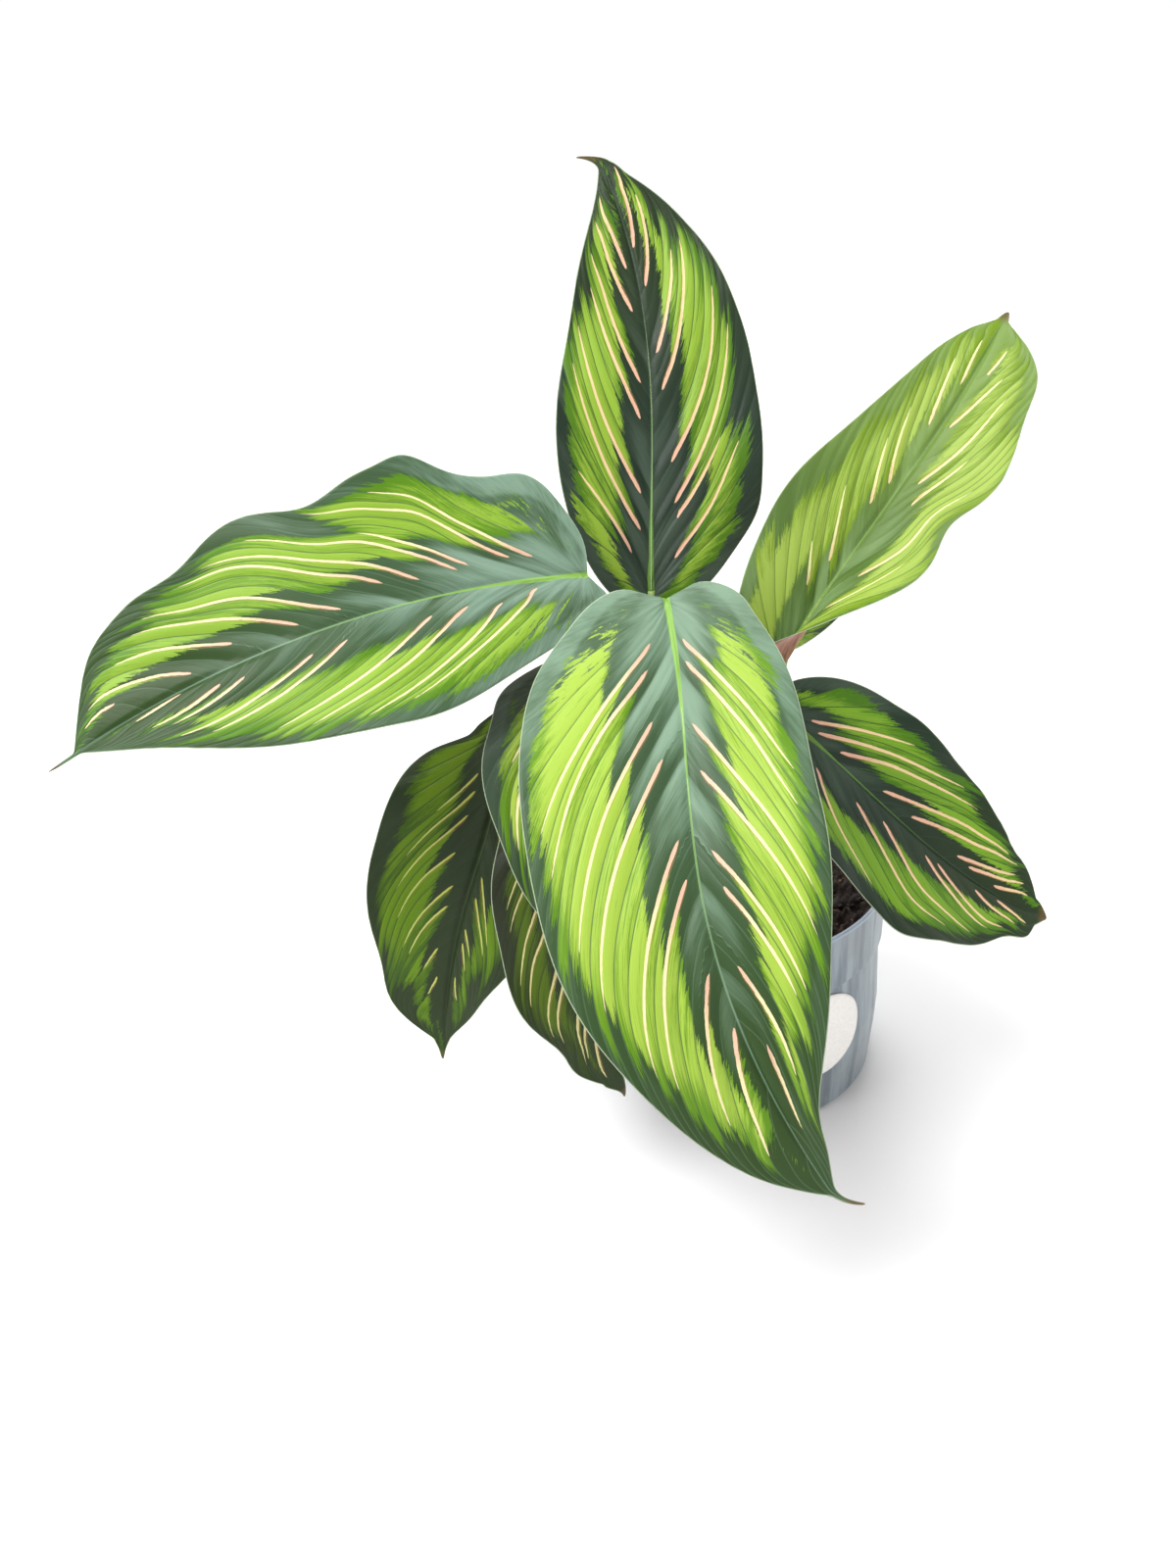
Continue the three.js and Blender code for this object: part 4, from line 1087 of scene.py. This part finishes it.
def lower_face(name, palette):
    """Wine-coloured underside with paler midrib and veins."""
    paint = Paint(name + "_under")
    lane, pace, _ = paint.split(paint.attribute("lane"))
    inner, outer, _ = paint.split(paint.attribute("band"))
    distance, _, _ = paint.split(paint.attribute("place"))
    streaks = paint.along_veins(0.15, 0.8, 3.0, 0.6)
    cloud = paint.along_veins(1.0, 0.06)
    vein = (lane + 0.5).math("FLOOR")
    line = ((lane - vein).math("ABSOLUTE") / pace).between(0.6, 0.1)
    wine = palette["under"]
    pale = tuple(0.72 * c + 0.28 * g for c, g in zip(wine, (0.42, 0.30, 0.20)))
    rib_colour = tuple(0.55 * c + 0.45 * g for c, g in zip(wine, (0.40, 0.36, 0.16)))
    deep = tuple(0.55 * c for c in wine)
    shows = inner.between(-1.0, 2.0) * outer.between(-1.0, 2.0)
    colour = paint.mix(wine, deep, (cloud + (streaks - 0.5) * 0.8).between(0.3, 0.8))
    colour = paint.mix(colour, pale, shows * 0.45)
    colour = paint.mix(colour, deep, line * 0.5)
    rib = distance.between(2.4, 1.2)
    colour = paint.mix(colour, rib_colour, rib * 0.85)
    height = line * 0.8 + streaks * 0.5
    return paint.finish(colour, 0.46 + (streaks - 0.5) * 0.15, height, 0.2, Specular_IOR_Level=0.4)


def stalk_skin():
    """Green stalks, ruddy at the foot, with fine ribs along them and a paler knee."""
    paint = Paint("stalk_skin")
    angle, share, travel = paint.split(paint.attribute("lane"))
    round_it = paint.join(angle.math("SINE") * 2.0, angle.math("COSINE") * 2.0, travel * 0.03)
    ribs = paint.noise(round_it, 4.0, 3.0, 0.6)
    mottle = paint.noise(paint.place(), 260.0, 3.0, 0.6)
    colour = paint.mix((0.12, 0.26, 0.05), (0.24, 0.38, 0.09), ribs.between(0.3, 0.7))
    colour = paint.mix(colour, (0.16, 0.06, 0.03), share.between(0.32, 0.02) * (0.35 + mottle * 0.6))
    colour = paint.mix(colour, (0.30, 0.42, 0.12), share.between(0.86, 0.93) * 0.6)
    gloss = 0.42 + (mottle - 0.5) * 0.2
    return paint.finish(colour, gloss, ribs + mottle * 0.4, 0.18, Specular_IOR_Level=0.45)


def shown(name, mesh, node, materials):
    """Puts a mesh in the scene, on the part's one body, in place of a node or beside it."""
    piece = bpy.data.objects.new(name, mesh)
    bpy.context.scene.collection.objects.link(piece)
    for material in materials:
        mesh.materials.append(material)
    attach(piece, "root")
    if node:
        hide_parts(node)
    return piece


def build_leaves():
    """The nine leaves, each with its two faces and its stalk."""
    skin = stalk_skin()
    for name, leaf in LEAVES.items():
        palette = PALETTES[name]
        mesh = leaf_mesh(name, leaf)
        shown(name + "_blade", mesh, name, [upper_face(name, palette), lower_face(name, palette), skin])


def lathe(name, profile, sides):
    """A surface turned about Z from (radius, z) pairs; the ends may lie on the axis."""
    profile = np.array(profile, float)
    angle = 2 * np.pi * np.arange(sides) / sides
    ring = np.stack([np.cos(angle), np.sin(angle), np.zeros(sides)], -1)
    points = profile[:, None, :1] * ring + profile[:, None, 1:] * np.array([0, 0, 1.0])
    index = np.arange(len(profile) * sides).reshape(len(profile), sides)
    mesh = make_mesh(name, points.reshape(-1, 3), between_rings(index))
    work = bmesh.new()
    work.from_mesh(mesh)
    bmesh.ops.remove_doubles(work, verts=work.verts, dist=1e-6)
    work.to_mesh(mesh)
    work.free()
    return mesh


def rounded(profile, radius=0.35, steps=3):
    """Rounds the corners of a profile with short arcs."""
    profile = [np.array(p, float) for p in profile]
    result = [profile[0]]
    for before, corner, after in zip(profile, profile[1:], profile[2:]):
        cut_in = min(radius, np.linalg.norm(before - corner) / 2.2)
        cut_out = min(radius, np.linalg.norm(after - corner) / 2.2)
        first = corner + (before - corner) / np.linalg.norm(before - corner) * cut_in
        last = corner + (after - corner) / np.linalg.norm(after - corner) * cut_out
        for k in range(steps + 1):
            t = k / steps
            result.append((1 - t) ** 2 * first + 2 * (1 - t) * t * corner + t * t * last)
    result.append(profile[-1])
    return [tuple(p) for p in result]


def build_pot():
    """The nursery pot, hollow, with drain holes cut through its floor."""
    def inner(radius):
        return radius - POT_WALL

    profile = [
        (0, FOOT_HEIGHT), (BASE_RADIUS - FOOT_WIDTH - 1, FOOT_HEIGHT), (BASE_RADIUS - FOOT_WIDTH, 0),
        (BASE_RADIUS - BASE_CHAMFER, 0), (BASE_RADIUS, BASE_CHAMFER),
        (SKIRT_RADIUS, SKIRT_Z), (WALL_MID_RADIUS, WALL_MID_Z),
        (WALL_TOP_RADIUS, BAND_FOOT_Z - 0.5), (BAND_FOOT_RADIUS, BAND_FOOT_Z),
        (RIM_RADIUS - LIP_BULGE, POT_HEIGHT - LIP_HEIGHT), (RIM_RADIUS, POT_HEIGHT - LIP_HEIGHT / 2),
        (RIM_RADIUS, POT_HEIGHT), (inner(RIM_RADIUS), POT_HEIGHT),
        (inner(RIM_RADIUS), POT_HEIGHT - LIP_HEIGHT), (inner(BAND_FOOT_RADIUS), BAND_FOOT_Z),
        (inner(WALL_TOP_RADIUS), BAND_FOOT_Z - 2), (inner(WALL_MID_RADIUS), WALL_MID_Z),
        (inner(SKIRT_RADIUS), SKIRT_Z), (inner(BASE_RADIUS), FLOOR_THICKNESS), (0, FLOOR_THICKNESS),
    ]
    mesh = lathe("pot_shell", rounded(profile), POT_SIDES)
    piece = shown("pot_shell", mesh, "pot", [pot_plastic()])
    cutters = []
    for k in range(DRAIN_HOLES):
        angle = 2 * math.pi * (k + 0.5) / DRAIN_HOLES
        bpy.ops.mesh.primitive_cylinder_add(
            vertices=DRAIN_SIDES, radius=DRAIN_RADIUS * MM, depth=DRAIN_CUT * MM,
            location=(DRAIN_CIRCLE * MM * math.cos(angle), DRAIN_CIRCLE * MM * math.sin(angle), 0),
        )
        cutters.append(bpy.context.object)
    for cutter in cutters:
        cut = piece.modifiers.new("drain", "BOOLEAN")
        cut.object = cutter
        cut.operation = "DIFFERENCE"
        cut.solver = "EXACT"
    shape = bpy.data.meshes.new_from_object(piece.evaluated_get(bpy.context.evaluated_depsgraph_get()))
    piece.modifiers.clear()
    piece.data = shape
    for cutter in cutters:
        bpy.data.objects.remove(cutter)


def pot_plastic():
    """Grey-blue moulded plastic, streaked down the wall, duller where it was handled."""
    paint = Paint("pot_plastic")
    x, y, z = paint.split(paint.place())
    turn = y.math("ARCTAN2", x)
    down_the_wall = paint.join(turn.math("SINE") * 3.0, turn.math("COSINE") * 3.0, z * 4.0)
    streak = paint.noise(down_the_wall, 2.6, 4.0, 0.6)
    cloud = paint.noise(paint.place(), 22.0, 4.0, 0.6)
    grain = paint.noise(paint.place(), 900.0, 2.0)
    colour = paint.mix((0.115, 0.150, 0.175), (0.27, 0.325, 0.355), streak.between(0.35, 0.62))
    colour = paint.mix(colour, (0.19, 0.20, 0.20), cloud.between(0.45, 0.7) * 0.4)
    lip = (z - (POT_HEIGHT - LIP_HEIGHT - 0.5) * MM).between(0.0, 0.001)
    colour = paint.mix(colour, (0.28, 0.37, 0.46), lip * 0.7)
    scuffs = paint.noise(paint.join(x, y, z * 6.0), 130.0, 3.0, 0.7)
    rough = 0.33 + (cloud - 0.5) * 0.15 + scuffs.between(0.6, 0.72) * 0.14
    return paint.finish(colour, rough, grain * 0.5 + scuffs, 0.06, Specular_IOR_Level=0.5)


def build_label():
    """A blank round paper label, bent to the wall."""
    rings, sides = LABEL_RINGS, LABEL_SIDES
    points = []
    for lift_off in (LABEL_LIFT + LABEL_THICKNESS, LABEL_LIFT):
        for ring in range(1, rings + 1):
            angle = 2 * np.pi * np.arange(sides) / sides
            reach = LABEL_RADIUS * ring / rings
            soft = lift_off - (LABEL_ROUNDING if ring == rings else 0)
            z = LABEL_CENTRE_Z + reach * np.sin(angle)
            share = clamp01((z - WALL_MID_Z) / (BAND_FOOT_Z - WALL_MID_Z))
            lower = clamp01((WALL_MID_Z - z) / (WALL_MID_Z - SKIRT_Z))
            radius = WALL_MID_RADIUS + (WALL_TOP_RADIUS - WALL_MID_RADIUS) * share
            radius = radius - (WALL_MID_RADIUS - SKIRT_RADIUS) * lower + soft
            turn = LABEL_TURN + reach * np.cos(angle) / WALL_TOP_RADIUS
            points.append(np.stack([radius * np.sin(turn), -radius * np.cos(turn), z], -1))
    index = np.arange(2 * rings * sides).reshape(2, rings, sides)
    front, back = index
    faces = [
        between_rings(front, outward=False), between_rings(back),
        between_rings(np.stack([front[-1], back[-1]]), outward=False),
        end_cap(front[0]), end_cap(back[0], flip=True),
    ]
    mesh = make_mesh("label_disc", np.concatenate(points), np.concatenate(faces))
    shown("label_disc", mesh, "pot_label", [label_paper()])


def label_paper():
    """Matt white paper, faintly stained."""
    paint = Paint("label_paper")
    fibres = paint.noise(paint.place(), 700.0, 4.0, 0.7)
    stains = paint.noise(paint.place(), 45.0, 3.0, 0.6)
    colour = paint.mix((0.80, 0.77, 0.73), (0.87, 0.85, 0.82), fibres.between(0.35, 0.65))
    colour = paint.mix(colour, (0.66, 0.60, 0.52), stains.between(0.6, 0.8) * 0.25)
    return paint.finish(colour, 0.55, fibres, 0.05)


def soil_height(x, y):
    """The gentle lumps of the mix."""
    lump = np.sin(0.31 * x + 1) * np.cos(0.27 * y) + np.sin(0.17 * (x + y))
    lump = lump + 0.5 * np.cos(0.55 * x - 0.48 * y)
    return SOIL_TOP + SOIL_RELIEF * 0.4 * lump


def soil_top_radius():
    """The mix's radius at its top, clear of the wall."""
    share = (SOIL_TOP - BAND_FOOT_Z) / (POT_HEIGHT - BAND_FOOT_Z)
    return BAND_FOOT_RADIUS + (RIM_RADIUS - BAND_FOOT_RADIUS) * share - SOIL_CLEAR - SOIL_GAP


def build_soil():
    """Crumbly mix: a fine heightfield with bark chips and a few white grains on it."""
    rng = np.random.default_rng(SOIL_SEED)
    top = soil_top_radius()
    rings, sides = SOIL_RINGS, SOIL_SIDES
    pitches = np.geomspace(0.4, 3.2, CRUMB_WAVES)
    waves = [(rng.normal(size=2) * f, rng.uniform(0, 6.3), 1.1 * f ** -0.9) for f in pitches]
    angle = 2 * np.pi * np.arange(sides) / sides
    points = []
    for ring in range(1, rings + 1):
        reach = top * ring / rings
        x, y = reach * np.cos(angle), reach * np.sin(angle)
        rough = sum(h * np.sin(k[0] * x + k[1] * y + p) for k, p, h in waves) * CRUMB_HEIGHT
        fade = min(1.0, (rings - ring) / SOIL_EDGE_RINGS)
        points.append(np.stack([x, y, soil_height(x, y) + rough * fade], -1))
    inset = SOIL_CLEAR + SOIL_GAP
    bottom = FLOOR_THICKNESS + SOIL_GAP
    side = [
        (top, SOIL_TOP - 3), (BAND_FOOT_RADIUS - inset, BAND_FOOT_Z + 1),
        (WALL_TOP_RADIUS - inset, BAND_FOOT_Z - 1.5), (WALL_MID_RADIUS - inset, WALL_MID_Z),
        (SKIRT_RADIUS - inset, SKIRT_Z), (BASE_RADIUS - inset, bottom), (0.4, bottom),
    ]
    for radius, z in side:
        points.append(np.stack([radius * np.cos(angle), radius * np.sin(angle), np.full(sides, z)], -1))
    index = np.arange(len(points) * sides).reshape(len(points), sides)
    faces = [between_rings(index, outward=False), end_cap(index[0]), end_cap(index[-1], flip=True)]
    mesh = make_mesh("potting_mix", np.concatenate(points), np.concatenate(faces))
    shown("potting_mix", mesh, "soil", [soil_crumb()])
    chunks("bark_chips", rng, top, bark(), **BARK_CHIPS)
    chunks("white_grains", rng, top, perlite(), **WHITE_GRAINS)


def chunks(name, rng, top, material, count, size, flatness, inset):
    """Rough little stones or chips, sunk by a third into the mix."""
    points, faces = [], []
    work = bmesh.new()
    bmesh.ops.create_icosphere(work, subdivisions=2, radius=1.0)
    work.verts.ensure_lookup_table()
    ball = np.array([v.co[:] for v in work.verts])
    triangles = np.array([[v.index for v in f.verts] for f in work.faces])
    work.free()
    for _ in range(count):
        long_side = size[0] + (size[1] - size[0]) * rng.random() ** 2.4
        scale = np.array([1, rng.uniform(0.45, 0.8), rng.uniform(*flatness) * 0.6]) * long_side / 2
        crush = np.clip(ball, -rng.uniform(0.55, 0.9), rng.uniform(0.55, 0.9))
        shape = crush * scale * (1 + 0.16 * rng.normal(size=(len(ball), 1)))
        heading = Matrix.Rotation(rng.uniform(0, 6.3), 3, "Z")
        tilt = Matrix.Rotation(rng.uniform(-0.5, 0.5), 3, "X")
        turn = np.array(heading @ tilt)
        angle, far = rng.uniform(0, 2 * np.pi), (top - inset) * math.sqrt(rng.random())
        x, y = far * math.cos(angle), far * math.sin(angle)
        centre = np.array([x, y, soil_height(x, y) + scale[2] * 0.4])
        faces.append(triangles + len(ball) * len(points))
        points.append(shape @ turn.T + centre)
    mesh = make_mesh(name, np.concatenate(points), np.concatenate(faces))
    shown(name, mesh, None, [material])


def soil_crumb():
    """Dark crumbs with rusty patches."""
    paint = Paint("soil_crumb")
    crumbs = paint.noise(paint.place(), 420.0, 5.0, 0.7)
    patches = paint.noise(paint.place(), 60.0, 3.0, 0.6)
    colour = paint.mix((0.010, 0.007, 0.005), (0.045, 0.026, 0.016), crumbs.between(0.4, 0.68))
    colour = paint.mix(colour, (0.065, 0.030, 0.014), patches.between(0.55, 0.72) * 0.5)
    return paint.finish(colour, 0.9, crumbs, 1.2)


def bark():
    """Red-brown fibrous chips, some of them nearly black."""
    paint = Paint("bark")
    x, y, z = paint.split(paint.place())
    fibres = paint.noise(paint.join(x * 1.0, y * 3.0, z * 3.0), 240.0, 4.0, 0.65)
    which = paint.noise(paint.place(), 85.0, 1.0)
    colour = paint.mix((0.035, 0.014, 0.008), (0.17, 0.065, 0.025), fibres.between(0.35, 0.7))
    colour = paint.mix(colour, (0.016, 0.010, 0.008), which.between(0.42, 0.55))
    return paint.finish(colour, 0.82, fibres, 0.5)


def perlite():
    """Pitted off-white grains."""
    paint = Paint("perlite")
    pits = paint.noise(paint.place(), 900.0, 3.0, 0.6)
    colour = paint.mix((0.42, 0.39, 0.34), (0.72, 0.70, 0.65), pits.between(0.35, 0.6))
    return paint.finish(colour, 0.85, pits, 0.3)


def build_stage():
    """Pale floor, a bright even surround and large soft lights."""
    bpy.ops.mesh.primitive_circle_add(
        vertices=FLOOR_SIDES, radius=FLOOR_RADIUS, fill_type="NGON", location=(0, 0, 0))
    floor = bpy.context.object
    floor.name = "studio_floor"
    paint = Paint("studio_floor")
    mottle = paint.noise(paint.place(), 3.0, 2.0)
    dull, bright = FLOOR_TONES
    colour = paint.mix((dull, dull, dull), (bright, bright, bright), mottle)
    x, y, _ = paint.split(paint.place())
    far = (x * x + y * y).math("SQRT").between(GLOW_FROM, GLOW_TO)
    plug(paint.tree, far * GLOW, paint.shader.inputs["Emission Strength"])
    floor.data.materials.append(paint.finish(colour, 0.85, Emission_Color=(1.0, 1.0, 1.0, 1.0)))
    world = bpy.data.worlds.new("studio")
    world.use_nodes = True
    tree = world.node_tree
    background = tree.nodes["Background"]
    background.inputs["Color"].default_value = (1.0, 1.0, 1.0, 1.0)
    upward = tree.nodes.new("ShaderNodeSeparateXYZ")
    tree.links.new(tree.nodes.new("ShaderNodeTexCoord").outputs["Generated"], upward.inputs[0])
    overhead = Signal(tree, upward.outputs["Z"]).between(DOME_FROM, DOME_TO)
    plug(tree, overhead * (DOME - HORIZON) + HORIZON, background.inputs["Strength"])
    bpy.context.scene.world = world
    for name, (place, size, power) in LAMPS.items():
        soft_light(name, place, size, power)


def soft_light(name, place, size, power):
    """A round area lamp, aimed at the plant."""
    light = bpy.data.lights.new(name, "AREA")
    light.shape = "DISK"
    light.size = size
    light.energy = power
    lamp = bpy.data.objects.new(name, light)
    bpy.context.scene.collection.objects.link(lamp)
    lamp.location = place
    aim = Vector(LAMP_AIM) - Vector(place)
    lamp.rotation_euler = aim.to_track_quat("-Z", "Y").to_euler()


def build_camera():
    """The photo's viewpoint, looking down with a tilted head."""
    data = bpy.data.cameras.new("viewer")
    data.lens = CAMERA_LENS
    data.sensor_width = SENSOR
    camera = bpy.data.objects.new("viewer", data)
    bpy.context.scene.collection.objects.link(camera)
    sideways = Vector((1, 0, 0))
    upward = Vector((0, math.sin(CAMERA_DOWN), math.cos(CAMERA_DOWN)))
    ahead = Vector((0, math.cos(CAMERA_DOWN), -math.sin(CAMERA_DOWN)))
    right = sideways * math.cos(CAMERA_ROLL) - upward * math.sin(CAMERA_ROLL)
    top = sideways * math.sin(CAMERA_ROLL) + upward * math.cos(CAMERA_ROLL)
    turn = Matrix((right, top, -ahead)).transposed().to_4x4()
    camera.matrix_world = Matrix.Translation(Vector(CAMERA_PLACE) * MM) @ turn
    bpy.context.scene.camera = camera


build_camera()
build_stage()
build_leaves()
build_pot()
build_label()
build_soil()
bpy.context.scene.view_settings.view_transform = "Standard"
